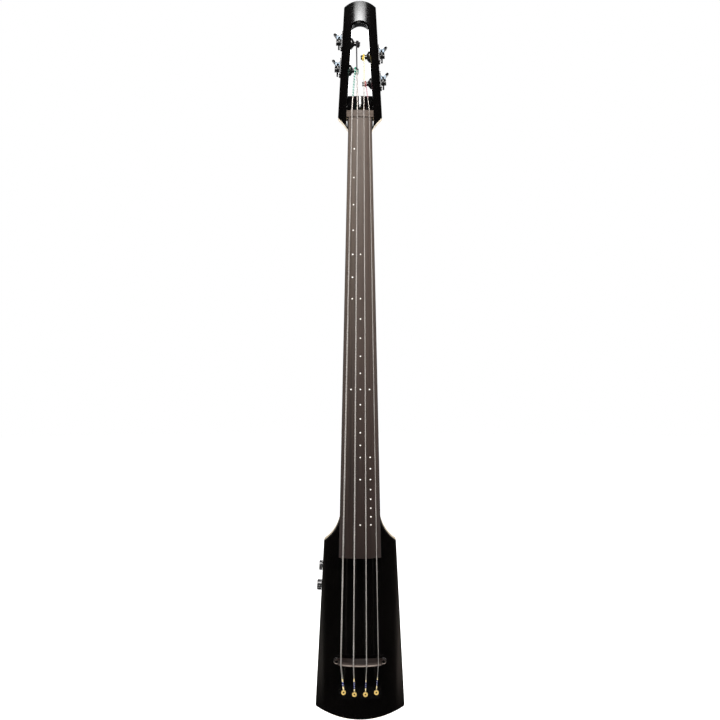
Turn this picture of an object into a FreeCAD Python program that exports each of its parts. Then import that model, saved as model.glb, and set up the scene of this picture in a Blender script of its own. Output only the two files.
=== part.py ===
import FreeCAD, Part
import math
import os

# Electric upright double bass, solid body, four strings. Units are millimetres.
#
# Frame: +Z runs up the neck, +X is to the right as the player's audience sees it, and the
# back of the body is the plane y = 0. "Depth" below is the distance in front of that plane,
# so y = -depth. The origin is the stand socket's centre on the back of the body.

# ---- driving dimensions -------------------------------------------------------------------

NUT_Z = 1010.8
BRIDGE_Z = -60.2
NUT_LENGTH = 12.6
DOT_SCALE = 1060.0
DOT_SCALE_TOP_Z = 1007.4

# body
BODY_BOTTOM_Z = -177.2
BODY_CORNER_Z = -154.5
BODY_CORNER_X = 88.9
SHOULDER_Z = 177.2
SHOULDER_X = 71.7
SHOULDER_ARC = (50.9, 198.3)
HEEL_Z = 226.0
BODY_CREST = 46.0
BODY_ARCH_R = 210.0
BODY_CORNER_ROUND = 2.5
BODY_EDGE_ROUND = 2.4
SCOOP_START_Z = 150.0

# fingerboard
BOARD_END_Z = 146.5
BOARD_END_HALF = 41.8
BOARD_NUT_HALF = 22.8
BOARD_CREST = 74.0
BOARD_R = 66.0
BOARD_BASE_END = 55.0
BOARD_BASE_NUT = 64.0
NUT_HALF = 26.3
NUT_R = 68.2
NUT_SEAT = 62.0
DOT_R = 1.4
DOT_THICK = 1.2
DOT_SEMITONES = 24

# neck
NECK_START_Z = 150.0
NECK_END_Z = 1014.0
NECK_BACK_HEEL = 37.5
NECK_BACK_NUT = 44.0
NECK_SIDE = 2.5
NECK_CORNER_R = 9.0
TONGUE_HALF = 34.0
TONGUE_BACK = 24.0

# head
HEAD_BOTTOM_Z = 1010.0
HEAD_BOTTOM_HALF = 43.3
HEAD_SHOULDER = (31.6, 997.5)
HEAD_NECK_Z = 985.0
HEAD_TOP_Z = 1225.3
HEAD_TOP_HALF = 31.0
HEAD_APEX_Z = 1237.6
HEAD_FRONT = 72.0
HEAD_BACK = 38.0
HEAD_ARCH_R = 150.0
CHEEK = 17.3
SLOT_TOP_Z = 1190.0
SLOT_APEX_Z = 1196.5
RAMP_FRONT = (70.5, 1024.8)
RAMP_BACK = (37.0, 1060.0)
SLOT_BEVEL = 3.6
WINDOW_TOP = (24.6, 27.6, 1008.6)
WINDOW_POINT = (25.2, 990.5)
SLOT_BEVEL_DEPTH = 6.5

# strings: x at the nut, x at the bridge, x and z of the ball, radius, z of the post
STRINGS = {
    "e": {"nut_x": -15.8, "bridge_x": -37.4, "ball": (-32.5, -123.5), "r": 1.4, "post_z": 1106.6},
    "a": {"nut_x": -5.0, "bridge_x": -12.65, "ball": (-11.0, -126.7), "r": 1.15, "post_z": 1159.2},
    "d": {"nut_x": 7.6, "bridge_x": 12.7, "ball": (10.8, -126.7), "r": 0.9, "post_z": 1133.0},
    "g": {"nut_x": 18.1, "bridge_x": 36.0, "ball": (32.4, -123.5), "r": 0.7, "post_z": 1080.5},
}
ACTION_AT_NUT = 1.2
STRING_GAP = 0.15
GROOVE_OPENING = 8.0
WINDING_GAP = 0.3
WINDING_INSET = 28.0
BALL_R = 4.5
BALL_THICK = 5.0
BALL_HOLE_R = 2.0
BALL_SINK = 1.0

# bridge
BRIDGE_CREST = 82.6
BRIDGE_TOP_R = 74.0
BRIDGE_TOP_HALF = 41.0
BRIDGE_BASE = 54.0
BRIDGE_EAR_TOP = 61.0
BRIDGE_EAR_X = 46.6
BRIDGE_EAR_R = 4.4
BRIDGE_ARCH_RISE = 7.0
BRIDGE_FOOT_X = 33.0
SENSOR_X = 38.6
SENSOR_HALF = 3.0
SENSOR_TALL = 4.0
BRIDGE_TOP_THICK = 5.2
BRIDGE_BASE_THICK = 12.0
STUD_Z = BRIDGE_Z + 2.0
STUD_R = 3.0
RUNNING_CLEARANCE = 0.05
THUMBWHEEL_R = 6.2
THUMBWHEEL_THICK = 3.0

# tail anchor
ANCHOR_HALF = 42.0
ANCHOR_TOP_Z = -110.0
ANCHOR_BOTTOM_Z = -136.0
ANCHOR_DEEP = 14.0
WELL_R = 5.4
SLOT_HALF = 2.0

# stand plate and jack
STAND_PLATE = (60.0, 44.0, 5.0)
STAND_BOSS_R = 9.0
STAND_THREAD_R = 4.0
STAND_THREAD_LENGTH = 14.0
LOCATOR_R = 3.0
LOCATOR_X = 18.0
JACK_X = 45.0
JACK_Z = 80.0
JACK_PLATE_R = 17.0
JACK_BARREL_R = 6.0
JACK_BORE_R = 3.25
JACK_LENGTH = 32.0

# controls
KNOB_DEPTH = 17.0
SIDE_WALL = 8.0
CAVITY_TOP_Z = 150.0
CAVITY_BOTTOM_Z = 60.0
CAVITY_RIGHT_X = -20.0
CAVITY_FLOOR = 30.0
COVER_THICK = 2.0
COVER_LIP = 4.0
KNOBS = {
    "volume": {"z": 124.4, "r": 10.0, "height": 7.0},
    "tone": {"z": 85.5, "r": 10.75, "height": 9.3},
}
KNOB_FLUTES = 16

# tuners, in a frame with its origin where the post's axis crosses the cheek, x outwards
POST_DEPTH = 54.0
PLATE_THICK = 2.2
PLATE_TOP = 21.0
PLATE_BOTTOM = -13.5
PLATE_HALF = 13.0
POST_R = 4.3
POST_TIP_X = -35.0
POST_STUB_R = 3.0
FORK_HALF = 1.3
FORK_DEPTH = 4.0
WHEEL_TEETH = 32
WHEEL_MODULE = 0.8
WHEEL_X = (4.6, 7.8)
TOOTH_THINNING = 0.13
WORM_X = 6.7
WORM_PITCH_R = 2.9
WORM_ROOT_R = 2.1
WORM_TIP_R = 3.5
WORM_COLLAR_R = 3.7
CENTRE_SLACK = 0.08
BARREL_R = 4.4
BARREL_HALF = 12.0
SADDLE_OUT = 12.0
SADDLE_LOW = 5.6
KEY_CENTRE_Y = 39.0
KEY_LOBE_R = 10.0
KEY_LOBE_OFFSET = 7.5
KEY_THICK = 4.2
KEY_TILT = 45.0
CAP_R = 5.3
CAP_OUT = 12.2
FLARE_R = 11.2
FLARE_PROUD = 6.0
SLEEVE_R = 6.0

V = FreeCAD.Vector
X = V(1, 0, 0)
Y = V(0, 1, 0)
Z = V(0, 0, 1)


# ---- helpers ------------------------------------------------------------------------------

def at(x, depth, z):
    """A point given by its depth in front of the back plane."""
    return V(x, -depth, z)


def wire(start, *steps):
    """A closed outline in the XZ plane: each step is a point, or an arc's (middle, end)."""
    edges = []
    here = start
    for step in steps:
        if isinstance(step[0], tuple):
            middle, end = step
            edges.append(Part.Arc(at(here[0], 0, here[1]), at(middle[0], 0, middle[1]),
                                  at(end[0], 0, end[1])).toShape())
        else:
            end = step
            edges.append(Part.LineSegment(at(here[0], 0, here[1]), at(end[0], 0, end[1])).toShape())
        here = end
    if math.dist(here, start) > 1e-6:
        edges.append(Part.LineSegment(at(here[0], 0, here[1]), at(start[0], 0, start[1])).toShape())
    return Part.Wire(edges)


def slab(outline, back, front):
    """An XZ outline made solid between two depths."""
    face = Part.Face(outline)
    face.translate(at(0, back, 0))
    return face.extrude(at(0, front - back, 0))


def side_prism(points, half):
    """A polygon of (depth, z) points made solid from x = -half to x = half."""
    corners = [at(-half, depth, z) for depth, z in points]
    face = Part.Face(Part.makePolygon(corners + corners[:1]))
    return face.extrude(V(2 * half, 0, 0))


def arch(crest, radius, low, high):
    """A cylinder along Z whose front line is at the given depth."""
    return Part.makeCylinder(radius, high - low, at(0, crest - radius, low), Z)


def arch_depth(crest, radius, x):
    return crest - radius + math.sqrt(radius ** 2 - x ** 2)


def rod(start, end, radius):
    return Part.makeCylinder(radius, (end - start).Length, start, end - start)


def box(low, high):
    size = high - low
    return Part.makeBox(size.x, size.y, size.z, low)


def ring(outer, inner, start, axis, length):
    return Part.makeCylinder(outer, length, start, axis).cut(Part.makeCylinder(inner, length, start, axis))


def group(solids):
    """Separate solids kept in one node."""
    return Part.Compound([s for shape in solids for s in shape.Solids])


def save(name, shape):
    if not shape.isValid():
        print("INVALID", name)
    shape.exportStep("parts/%s.step" % name)


# ---- lines that several pieces share ------------------------------------------------------

def board_half(z):
    """Half the fingerboard's width."""
    return BOARD_NUT_HALF + (BOARD_END_HALF - BOARD_NUT_HALF) * (NUT_Z - z) / (NUT_Z - BOARD_END_Z)


def board_base(z):
    """Depth of the glue plane between neck and fingerboard."""
    return BOARD_BASE_NUT - (BOARD_BASE_NUT - BOARD_BASE_END) * (NUT_Z - z) / (NUT_Z - BOARD_END_Z)


def side_x(z):
    """Half the body's width between its corners."""
    return SHOULDER_X + (BODY_CORNER_X - SHOULDER_X) * (SHOULDER_Z - z) / (SHOULDER_Z - BODY_CORNER_Z)


def head_half(z):
    """Half the head's width at its cheeks."""
    slope = (HEAD_BOTTOM_HALF - HEAD_TOP_HALF) / (HEAD_TOP_Z - HEAD_BOTTOM_Z)
    return HEAD_BOTTOM_HALF - slope * (z - HEAD_BOTTOM_Z)


CHEEK_ANGLE = math.degrees(math.atan2(HEAD_BOTTOM_HALF - HEAD_TOP_HALF, HEAD_TOP_Z - HEAD_BOTTOM_Z))
SIDE_ANGLE = math.degrees(math.atan2(BODY_CORNER_X - SHOULDER_X, SHOULDER_Z - BODY_CORNER_Z))


# ---- body ---------------------------------------------------------------------------------

def body_outline():
    join = board_half(HEEL_Z)
    return wire((-join, HEEL_Z),
                ((-SHOULDER_ARC[0], SHOULDER_ARC[1]), (-SHOULDER_X, SHOULDER_Z)),
                (-BODY_CORNER_X, BODY_CORNER_Z),
                ((0, BODY_BOTTOM_Z), (BODY_CORNER_X, BODY_CORNER_Z)),
                (SHOULDER_X, SHOULDER_Z),
                ((SHOULDER_ARC[0], SHOULDER_ARC[1]), (join, HEEL_Z)))


def scoop():
    """The space behind the shoulders, where the back rises to meet the neck."""
    rise = NECK_BACK_HEEL
    run = HEEL_Z - SCOOP_START_Z
    radius = (rise ** 2 + run ** 2) / (2 * rise)
    half_turn = math.asin(run / radius) / 2
    middle = at(0, radius * (1 - math.cos(half_turn)), SCOOP_START_Z + radius * math.sin(half_turn))
    start = at(0, 0, SCOOP_START_Z)
    end = at(0, rise, HEEL_Z)
    edges = [Part.Arc(start, middle, end).toShape(),
             Part.LineSegment(end, at(0, rise, HEEL_Z + 5)).toShape(),
             Part.LineSegment(at(0, rise, HEEL_Z + 5), at(0, -5, HEEL_Z + 5)).toShape(),
             Part.LineSegment(at(0, -5, HEEL_Z + 5), at(0, -5, SCOOP_START_Z)).toShape(),
             Part.LineSegment(at(0, -5, SCOOP_START_Z), start).toShape()]
    face = Part.Face(Part.Wire(edges))
    face.translate(V(-100, 0, 0))
    return face.extrude(V(200, 0, 0))


def body_blank():
    """The body before its pocket, cavities and holes, with square edges."""
    block = slab(body_outline(), 0, BODY_CREST + 5)
    return block.common(arch(BODY_CREST, BODY_ARCH_R, BODY_BOTTOM_Z - 5, HEEL_Z + 5))


def rounded_body():
    """The blank with its four outside corners and its front and back rims rounded."""
    block = slab(body_outline(), 0, BODY_CREST + 5)
    corners = [e for e in block.Edges
               if abs(e.tangentAt(e.FirstParameter).y) > 0.99 and e.CenterOfMass.z < HEEL_Z - 10]
    block = block.makeFillet(BODY_CORNER_ROUND, corners)
    block = block.common(arch(BODY_CREST, BODY_ARCH_R, BODY_BOTTOM_Z - 5, HEEL_Z + 5))
    rims = [e for e in block.Edges
            if abs(e.CenterOfMass.z - HEEL_Z) > 1 and abs(e.tangentAt(e.FirstParameter).y) < 0.9]
    return block.makeFillet(BODY_EDGE_ROUND, rims)


def tongue():
    """The neck's tenon in the body's pocket."""
    outline = wire((-TONGUE_HALF, NECK_START_Z), (TONGUE_HALF, NECK_START_Z), (TONGUE_HALF, HEEL_Z),
                   (-TONGUE_HALF, HEEL_Z))
    return slab(outline, TONGUE_BACK, BODY_CREST + 4).cut(scoop())


def cavity():
    """The control cavity, cut from the back, and the ledge for its cover."""
    low = -side_x(CAVITY_BOTTOM_Z) + SIDE_WALL
    high = -side_x(CAVITY_TOP_Z) + SIDE_WALL
    room = slab(wire((low, CAVITY_BOTTOM_Z), (CAVITY_RIGHT_X, CAVITY_BOTTOM_Z),
                     (CAVITY_RIGHT_X, CAVITY_TOP_Z), (high, CAVITY_TOP_Z)), 0, CAVITY_FLOOR)
    return room.fuse(cover_plate())


def cover_plate():
    low = -side_x(CAVITY_BOTTOM_Z) + SIDE_WALL - COVER_LIP
    high = -side_x(CAVITY_TOP_Z) + SIDE_WALL - COVER_LIP
    bottom = CAVITY_BOTTOM_Z - COVER_LIP
    top = CAVITY_TOP_Z + COVER_LIP
    right = CAVITY_RIGHT_X + COVER_LIP
    return slab(wire((low, bottom), (right, bottom), (right, top), (high, top)), 0, COVER_THICK)


def cover_screw_places():
    inset = COVER_LIP / 2 + 1.0
    places = []
    for z in (CAVITY_BOTTOM_Z - inset + 3.5, CAVITY_TOP_Z + inset - 3.5):
        places.append((-side_x(z) + SIDE_WALL - inset + 1.0, z))
        places.append((CAVITY_RIGHT_X + inset - 1.0, z))
    return places


# ---- knobs and potentiometers: local frame on the left side wall, local z pointing outwards ----

def on_side(shape, z):
    """Places a part made along local z on the left side wall at height z."""
    placed = shape.copy()
    turn = FreeCAD.Rotation(Y, -90 + SIDE_ANGLE)
    placed.Placement = FreeCAD.Placement(at(-side_x(z), KNOB_DEPTH, z), turn)
    return placed


def pot_parts(knob):
    """The fixed potentiometer, its nut, its turning shaft and the knob."""
    height = knob["height"]
    bushing = ring(3.5, STUD_R + RUNNING_CLEARANCE, V(0, 0, -9.5), Z, 12.0)
    can = Part.makeCylinder(8.0, 8.5, V(0, 0, -18.0), Z)
    lug = box(V(-5, 7.5, -16.5), V(5, 12.0, -15.7))
    pot = can.fuse([bushing, lug]).cut(Part.makeCylinder(STUD_R + RUNNING_CLEARANCE, 13, V(0, 0, -10.5), Z))
    nut = Part.Face(Part.makePolygon([V(5.8 * math.cos(math.radians(a)), 5.8 * math.sin(math.radians(a)), 0.3)
                                      for a in range(0, 361, 60)])).extrude(V(0, 0, 2.0))
    nut = nut.cut(Part.makeCylinder(3.5, 4, V(0, 0, 0), Z))
    shaft = Part.makeCylinder(STUD_R, height - 1.0 + 10.4, V(0, 0, -10.4), Z)
    cap = Part.makeCylinder(knob["r"], height - 0.6, V(0, 0, 0.6), Z)
    cap = cap.makeChamfer(0.8, [e for e in cap.Edges if abs(e.CenterOfMass.z - height) < 1e-6])
    cap = cap.cut(Part.makeCylinder(7.0, 3.0, V(0, 0, 0.0), Z))
    cap = cap.cut(Part.makeCylinder(STUD_R, height - 1.0, V(0, 0, 0), Z))
    flute = Part.makeCylinder(1.1, height, V(knob["r"] + 0.4, 0, 0), Z)
    flutes = []
    for n in range(KNOB_FLUTES):
        cutter = flute.copy()
        cutter.rotate(V(0, 0, 0), Z, 360 * n / KNOB_FLUTES)
        flutes.append(cutter)
    cap = cap.cut(flutes)
    return [on_side(part, knob["z"]) for part in (pot, nut, shaft, cap)]


# ---- screws -------------------------------------------------------------------------------

def back_screw(x, z, sunk, length, shank_r=1.5, head_r=3.0):
    """A countersunk screw driven in from the back, its head's face at the given depth."""
    head = Part.makeCone(head_r, shank_r, 1.8, at(x, sunk, z), V(0, -1, 0))
    shank = Part.makeCylinder(shank_r, length, at(x, sunk, z), V(0, -1, 0))
    return head.fuse(shank).removeSplitter()


def cross_slot(x, z, sunk):
    wide = box(at(x - 1.7, sunk + 0.9, z - 0.35), at(x + 1.7, sunk - 1, z + 0.35))
    tall = box(at(x - 0.35, sunk + 0.9, z - 1.7), at(x + 0.35, sunk - 1, z + 1.7))
    return wide.fuse(tall)


def back_screws():
    """Every screw in the back of the body, whole and then with its driver slot."""
    places = [(x, z, 12.0) for x, z in cover_screw_places()]
    places += [(sx * 25.0, sz * 17.0, 18.0) for sx in (-1, 1) for sz in (-1, 1)]
    places += [(JACK_X + sx * 12.5, JACK_Z, 12.0) for sx in (-1, 1)]
    whole = [back_screw(x, z, 0.0, length) for x, z, length in places]
    cut = [screw.cut(cross_slot(x, z, 0.0)) for screw, (x, z, _) in zip(whole, places)]
    return whole, cut


# ---- stand plate, jack --------------------------------------------------------------------

def stand_plate():
    """A flush plate with a deep threaded boss and a locating hole on each side."""
    width, tall, thick = STAND_PLATE
    plate = box(at(-width / 2, thick, -tall / 2), at(width / 2, 0, tall / 2))
    plate = plate.makeFillet(6.0, [e for e in plate.Edges if abs(e.tangentAt(e.FirstParameter).y) > 0.99])
    solid = plate.fuse(Part.makeCylinder(STAND_BOSS_R, STAND_THREAD_LENGTH, V(0, 0, 0), V(0, -1, 0)))
    return solid.removeSplitter()


def stand_holes():
    thread = Part.makeCylinder(STAND_THREAD_R, STAND_THREAD_LENGTH + 2, V(0, 0, 0), V(0, -1, 0))
    pins = [Part.makeCylinder(LOCATOR_R, STAND_PLATE[2] + 2, V(sx * LOCATOR_X, 0, 0), V(0, -1, 0))
            for sx in (-1, 1)]
    return thread.fuse(pins)


def jack_plate():
    """A shallow round dish around the output jack's mouth."""
    plate = Part.makeCylinder(JACK_PLATE_R, 3.0, at(JACK_X, 0, JACK_Z), V(0, -1, 0))
    dish = Part.makeCone(JACK_BARREL_R + 4.0, JACK_BARREL_R + 2.0, 1.6, at(JACK_X, 0, JACK_Z), V(0, -1, 0))
    return plate.cut(dish).cut(Part.makeCylinder(4.6, 3.0, at(JACK_X, 0, JACK_Z), V(0, -1, 0)))


def jack_socket():
    barrel = Part.makeCylinder(JACK_BARREL_R, JACK_LENGTH - 3.0, at(JACK_X, 3.0, JACK_Z), V(0, -1, 0))
    neck_ring = Part.makeCylinder(4.6, 2.4, at(JACK_X, 0.6, JACK_Z), V(0, -1, 0))
    bore = Part.makeCylinder(JACK_BORE_R, JACK_LENGTH - 4.0, at(JACK_X, 0, JACK_Z), V(0, -1, 0))
    return barrel.fuse(neck_ring).removeSplitter().cut(bore)


# ---- tail anchor and balls ----------------------------------------------------------------

def surface(x):
    """Depth of the body's front at x."""
    return arch_depth(BODY_CREST, BODY_ARCH_R, x)


def anchor_blank():
    outline = wire((-ANCHOR_HALF, ANCHOR_BOTTOM_Z), (ANCHOR_HALF, ANCHOR_BOTTOM_Z),
                   (ANCHOR_HALF, ANCHOR_TOP_Z), (-ANCHOR_HALF, ANCHOR_TOP_Z))
    block = slab(outline, BODY_CREST - ANCHOR_DEEP, BODY_CREST + 2)
    return block.common(arch(BODY_CREST, BODY_ARCH_R, ANCHOR_BOTTOM_Z, ANCHOR_TOP_Z))


def anchor_wells():
    """A round well for each ball, and a slot from its well up to the block's edge."""
    cuts = []
    for spec in STRINGS.values():
        x, z = spec["ball"]
        floor = surface(x) - BALL_SINK - BALL_THICK / 2 - 0.2
        cuts.append(Part.makeCylinder(WELL_R, 12, at(x, floor, z), V(0, -1, 0)))
        cuts.append(box(at(x - SLOT_HALF, floor + 12, z), at(x + SLOT_HALF, floor, ANCHOR_TOP_Z + 1)))
    return cuts


def anchor_screw(x):
    z = ANCHOR_BOTTOM_Z + 4.5
    return back_screw(x, z, 0.0, BODY_CREST - 6.0, 2.0, 3.6), cross_slot(x, z, 0.0)


def ball(spec):
    x, z = spec["ball"]
    low = surface(x) - BALL_SINK - BALL_THICK / 2
    return ring(BALL_R, BALL_HOLE_R, at(x, low, z), V(0, -1, 0), BALL_THICK)


# ---- strings ------------------------------------------------------------------------------

def nut_string_depth(spec):
    """Depth of the string's centre at the nut."""
    return arch_depth(BOARD_CREST, BOARD_R, spec["nut_x"]) + ACTION_AT_NUT + spec["r"]


def bridge_string_depth(spec):
    return arch_depth(BRIDGE_CREST, BRIDGE_TOP_R, spec["bridge_x"]) + spec["r"] - 0.6


def post_axis(spec):
    """The post's direction, out of its cheek."""
    tilt = math.radians(CHEEK_ANGLE)
    return V(math.copysign(math.cos(tilt), spec["nut_x"]), 0, math.sin(tilt))


def winding_centre(spec):
    """The middle of the winding, on the post's axis."""
    side = math.copysign(1, spec["nut_x"])
    foot = at(side * head_half(spec["post_z"]), POST_DEPTH, spec["post_z"])
    return foot - post_axis(spec) * WINDING_INSET


def winding_radius(spec):
    return POST_R + WINDING_GAP + spec["r"]


def post_contact(spec):
    """Where the string leaves the nut side and touches its winding, on the post's front."""
    centre = winding_centre(spec)
    run = centre.z - NUT_Z - NUT_LENGTH
    drop = nut_string_depth(spec) - POST_DEPTH
    radius = winding_radius(spec)
    slope = math.atan2(drop, run) - math.asin(radius / math.hypot(run, drop))
    return centre + V(0, -radius * math.cos(slope), radius * math.sin(slope))


def string_points(spec):
    """From the ball, over the bridge and the nut, to the post."""
    x, z = spec["ball"]
    lip_z = ANCHOR_TOP_Z - 3.0
    share = (lip_z - z) / (BRIDGE_Z - z)
    lip_x = x + (spec["bridge_x"] - x) * share
    nut_depth = nut_string_depth(spec)
    return [at(x, surface(x) - BALL_SINK, z + BALL_R + 0.5),
            at(lip_x, surface(x) + spec["r"] - 0.4, lip_z),
            at(spec["bridge_x"], bridge_string_depth(spec), BRIDGE_Z),
            at(spec["nut_x"], nut_depth, NUT_Z),
            at(spec["nut_x"], nut_depth, NUT_Z + NUT_LENGTH),
            post_contact(spec)]


def string(spec):
    points = string_points(spec)
    pieces = [rod(a, b, spec["r"]) for a, b in zip(points, points[1:])]
    pieces += [Part.makeSphere(spec["r"], p) for p in points[1:]]
    axis = post_axis(spec)
    start, step = winding_centre(spec), axis * spec["r"] * 1.8
    turns = [Part.makeTorus(winding_radius(spec), spec["r"], start - step * n, axis) for n in (0, 1)]
    return pieces[0].fuse(pieces[1:] + turns)


def string_clearance(spec, points, spare):
    """The string's own path, a little wider, for cutting a groove."""
    radius = spec["r"] + spare
    pieces = [rod(a, b, radius) for a, b in zip(points, points[1:])]
    return pieces[0].fuse(pieces[1:] + [Part.makeSphere(radius, p) for p in points])


def open_groove(spec, points, spare):
    """Cuts for a groove that the string can leave straight to the front."""
    radius = spec["r"] + spare
    out = V(0, -GROOVE_OPENING, 0)
    cuts = [Part.makeSphere(radius, p) for p in points]
    cuts += [Part.makeCylinder(radius - 0.03, GROOVE_OPENING, p, out) for p in points]
    for a, b in zip(points, points[1:]):
        side = (b - a).cross(Y).normalize() * (radius - 0.06)
        floor = Part.Face(Part.makePolygon([a - side, b - side, b + side, a + side, a - side]))
        cuts += [rod(a, b, radius), floor.extrude(out)]
    return cuts


# ---- neck, board, nut ---------------------------------------------------------------------

def neck_section(z):
    """A D-shaped section: flat glue face, short straight sides, rounded corners, arched back."""
    half = board_half(z)
    base = board_base(z)
    share = (z - HEEL_Z) / (NUT_Z - HEEL_Z)
    back = NECK_BACK_HEEL + (NECK_BACK_NUT - NECK_BACK_HEEL) * share
    tall = base - back
    r = NECK_CORNER_R
    k = half - r
    big = (k ** 2 + (NECK_SIDE - tall) ** 2 - r ** 2) / (2 * (tall - NECK_SIDE - r))
    centre = tall - big
    angle = math.atan2(NECK_SIDE - centre, k)
    touch = (big * math.cos(angle), centre + big * math.sin(angle))
    mid_angle = angle / 2
    corner = (k + r * math.cos(mid_angle), NECK_SIDE + r * math.sin(mid_angle))

    def p(x, drop):
        return at(x, base - drop, z)

    edges = [Part.LineSegment(p(-half, 0), p(half, 0)).toShape(),
             Part.LineSegment(p(half, 0), p(half, NECK_SIDE)).toShape(),
             Part.Arc(p(half, NECK_SIDE), p(*corner), p(*touch)).toShape(),
             Part.Arc(p(*touch), p(0, tall), p(-touch[0], touch[1])).toShape(),
             Part.Arc(p(-touch[0], touch[1]), p(-corner[0], corner[1]), p(-half, NECK_SIDE)).toShape(),
             Part.LineSegment(p(-half, NECK_SIDE), p(-half, 0)).toShape()]
    return Part.Wire(edges)


def head_outline():
    neck = board_half(HEAD_NECK_Z)
    return wire((-neck, HEAD_NECK_Z), (neck, HEAD_NECK_Z),
                (HEAD_SHOULDER, (HEAD_BOTTOM_HALF, HEAD_BOTTOM_Z)),
                (HEAD_TOP_HALF, HEAD_TOP_Z),
                ((0, HEAD_APEX_Z), (-HEAD_TOP_HALF, HEAD_TOP_Z)),
                (-HEAD_BOTTOM_HALF, HEAD_BOTTOM_Z),
                ((-HEAD_SHOULDER[0], HEAD_SHOULDER[1]), (-neck, HEAD_NECK_Z)))


def slot_outline(grow):
    low = RAMP_FRONT[1] - 4
    low_half = head_half(low) - CHEEK + grow
    high_half = head_half(SLOT_TOP_Z) - CHEEK + grow
    return wire((-low_half, low), (low_half, low), (high_half, SLOT_TOP_Z),
                ((0, SLOT_APEX_Z + grow), (-high_half, SLOT_TOP_Z)))


def string_slot():
    """The open slot: straight through, with a ramp at its nut end and bevelled front edges."""
    through = slab(slot_outline(0), HEAD_BACK - 5, HEAD_FRONT + 5)
    narrow = slot_outline(0)
    narrow.translate(at(0, HEAD_FRONT - SLOT_BEVEL_DEPTH + 0.5, 0))
    wide = slot_outline(SLOT_BEVEL)
    wide.translate(at(0, HEAD_FRONT + 0.5, 0))
    opening = through.fuse(Part.makeLoft([narrow, wide], True, True))
    front, back = RAMP_FRONT[0] + 8, RAMP_BACK[0] - 6
    ramp = side_prism([(front, RAMP_FRONT[1]), RAMP_FRONT, RAMP_BACK, (back, RAMP_BACK[1]),
                       (back, HEAD_APEX_Z), (front, HEAD_APEX_Z)], 60)
    return opening.common(ramp)


def shoulder_window(side):
    """A narrow wedge of daylight between the fingerboard and the head's shoulder."""
    near, far, top = WINDOW_TOP
    tip_x, tip_z = WINDOW_POINT
    outline = wire((side * near, top), (side * far, top), (side * tip_x, tip_z))
    return slab(outline, HEAD_BACK - 5, HEAD_FRONT + 5)


def head():
    block = slab(head_outline(), HEAD_BACK, HEAD_FRONT + 3)
    corners = [e for e in block.Edges
               if abs(e.tangentAt(e.FirstParameter).y) > 0.99 and e.CenterOfMass.z > HEAD_BOTTOM_Z - 5]
    block = block.makeFillet(2.5, corners)
    block = block.common(arch(HEAD_FRONT, HEAD_ARCH_R, HEAD_NECK_Z - 5, HEAD_APEX_Z + 5))
    volute = side_prism([(HEAD_BACK - 1, HEAD_NECK_Z - 3), (NECK_BACK_NUT + 1.5, HEAD_NECK_Z - 3),
                         (HEAD_BACK - 1, HEAD_BOTTOM_Z + 6)], 60)
    return block.cut(volute)


def truss_line(z):
    return at(0, board_base(z) - 7.0, z)


def carbon_bar(side):
    low, high = 240.0, 985.0
    points = [(board_base(low) - 1.5, low), (board_base(high) - 1.5, high),
              (board_base(high) - 9.5, high), (board_base(low) - 9.5, low)]
    bar = side_prism(points, 1.5)
    bar.translate(V(side * 13.0, 0, 0))
    return bar


def fingerboard_blank():
    half_end = board_half(BOARD_END_Z)
    half_nut = board_half(NUT_Z)
    outline = wire((-half_end, BOARD_END_Z), (half_end, BOARD_END_Z), (half_nut, NUT_Z), (-half_nut, NUT_Z))
    block = slab(outline, 50, BOARD_CREST + 5)
    above = side_prism([(board_base(BOARD_END_Z), BOARD_END_Z), (BOARD_CREST + 5, BOARD_END_Z),
                        (BOARD_CREST + 5, NUT_Z), (board_base(NUT_Z), NUT_Z)], 60)
    block = block.common(arch(BOARD_CREST, BOARD_R, BOARD_END_Z, NUT_Z))
    return block.common(above)


def dot_gaps(semitone):
    """Which of the three gaps between the strings carry a dot at this semitone."""
    gaps = []
    if semitone <= 7 or semitone == 12:
        gaps.append(("e", "a"))
    if semitone in (5, 19, 24) or 7 <= semitone <= 17:
        gaps.append(("a", "d"))
    if semitone == 12 or semitone >= 17:
        gaps.append(("d", "g"))
    return gaps


def position_dots():
    dots = []
    for semitone in range(1, DOT_SEMITONES + 1):
        z = DOT_SCALE_TOP_Z - DOT_SCALE * (1 - 2 ** (-semitone / 12))
        share = (NUT_Z - z) / (NUT_Z - BRIDGE_Z)
        for pair in dot_gaps(semitone):
            at_nut = sum(STRINGS[n]["nut_x"] for n in pair) / 2
            at_bridge = sum(STRINGS[n]["bridge_x"] for n in pair) / 2
            x = at_nut + (at_bridge - at_nut) * share
            floor = arch_depth(BOARD_CREST, BOARD_R, abs(x) + DOT_R) - DOT_THICK
            peg = Part.makeCylinder(DOT_R, 8, at(x, floor, z), V(0, -1, 0))
            dots.append(peg.common(arch(BOARD_CREST, BOARD_R, z - 5, z + 5)))
    return dots


def nut_blank():
    block = box(at(-NUT_HALF, BOARD_CREST + 8, NUT_Z), at(NUT_HALF, NUT_SEAT, NUT_Z + NUT_LENGTH))
    return block.common(arch(NUT_R + BOARD_CREST - BOARD_R, NUT_R, NUT_Z, NUT_Z + NUT_LENGTH))


# ---- bridge -------------------------------------------------------------------------------

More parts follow.
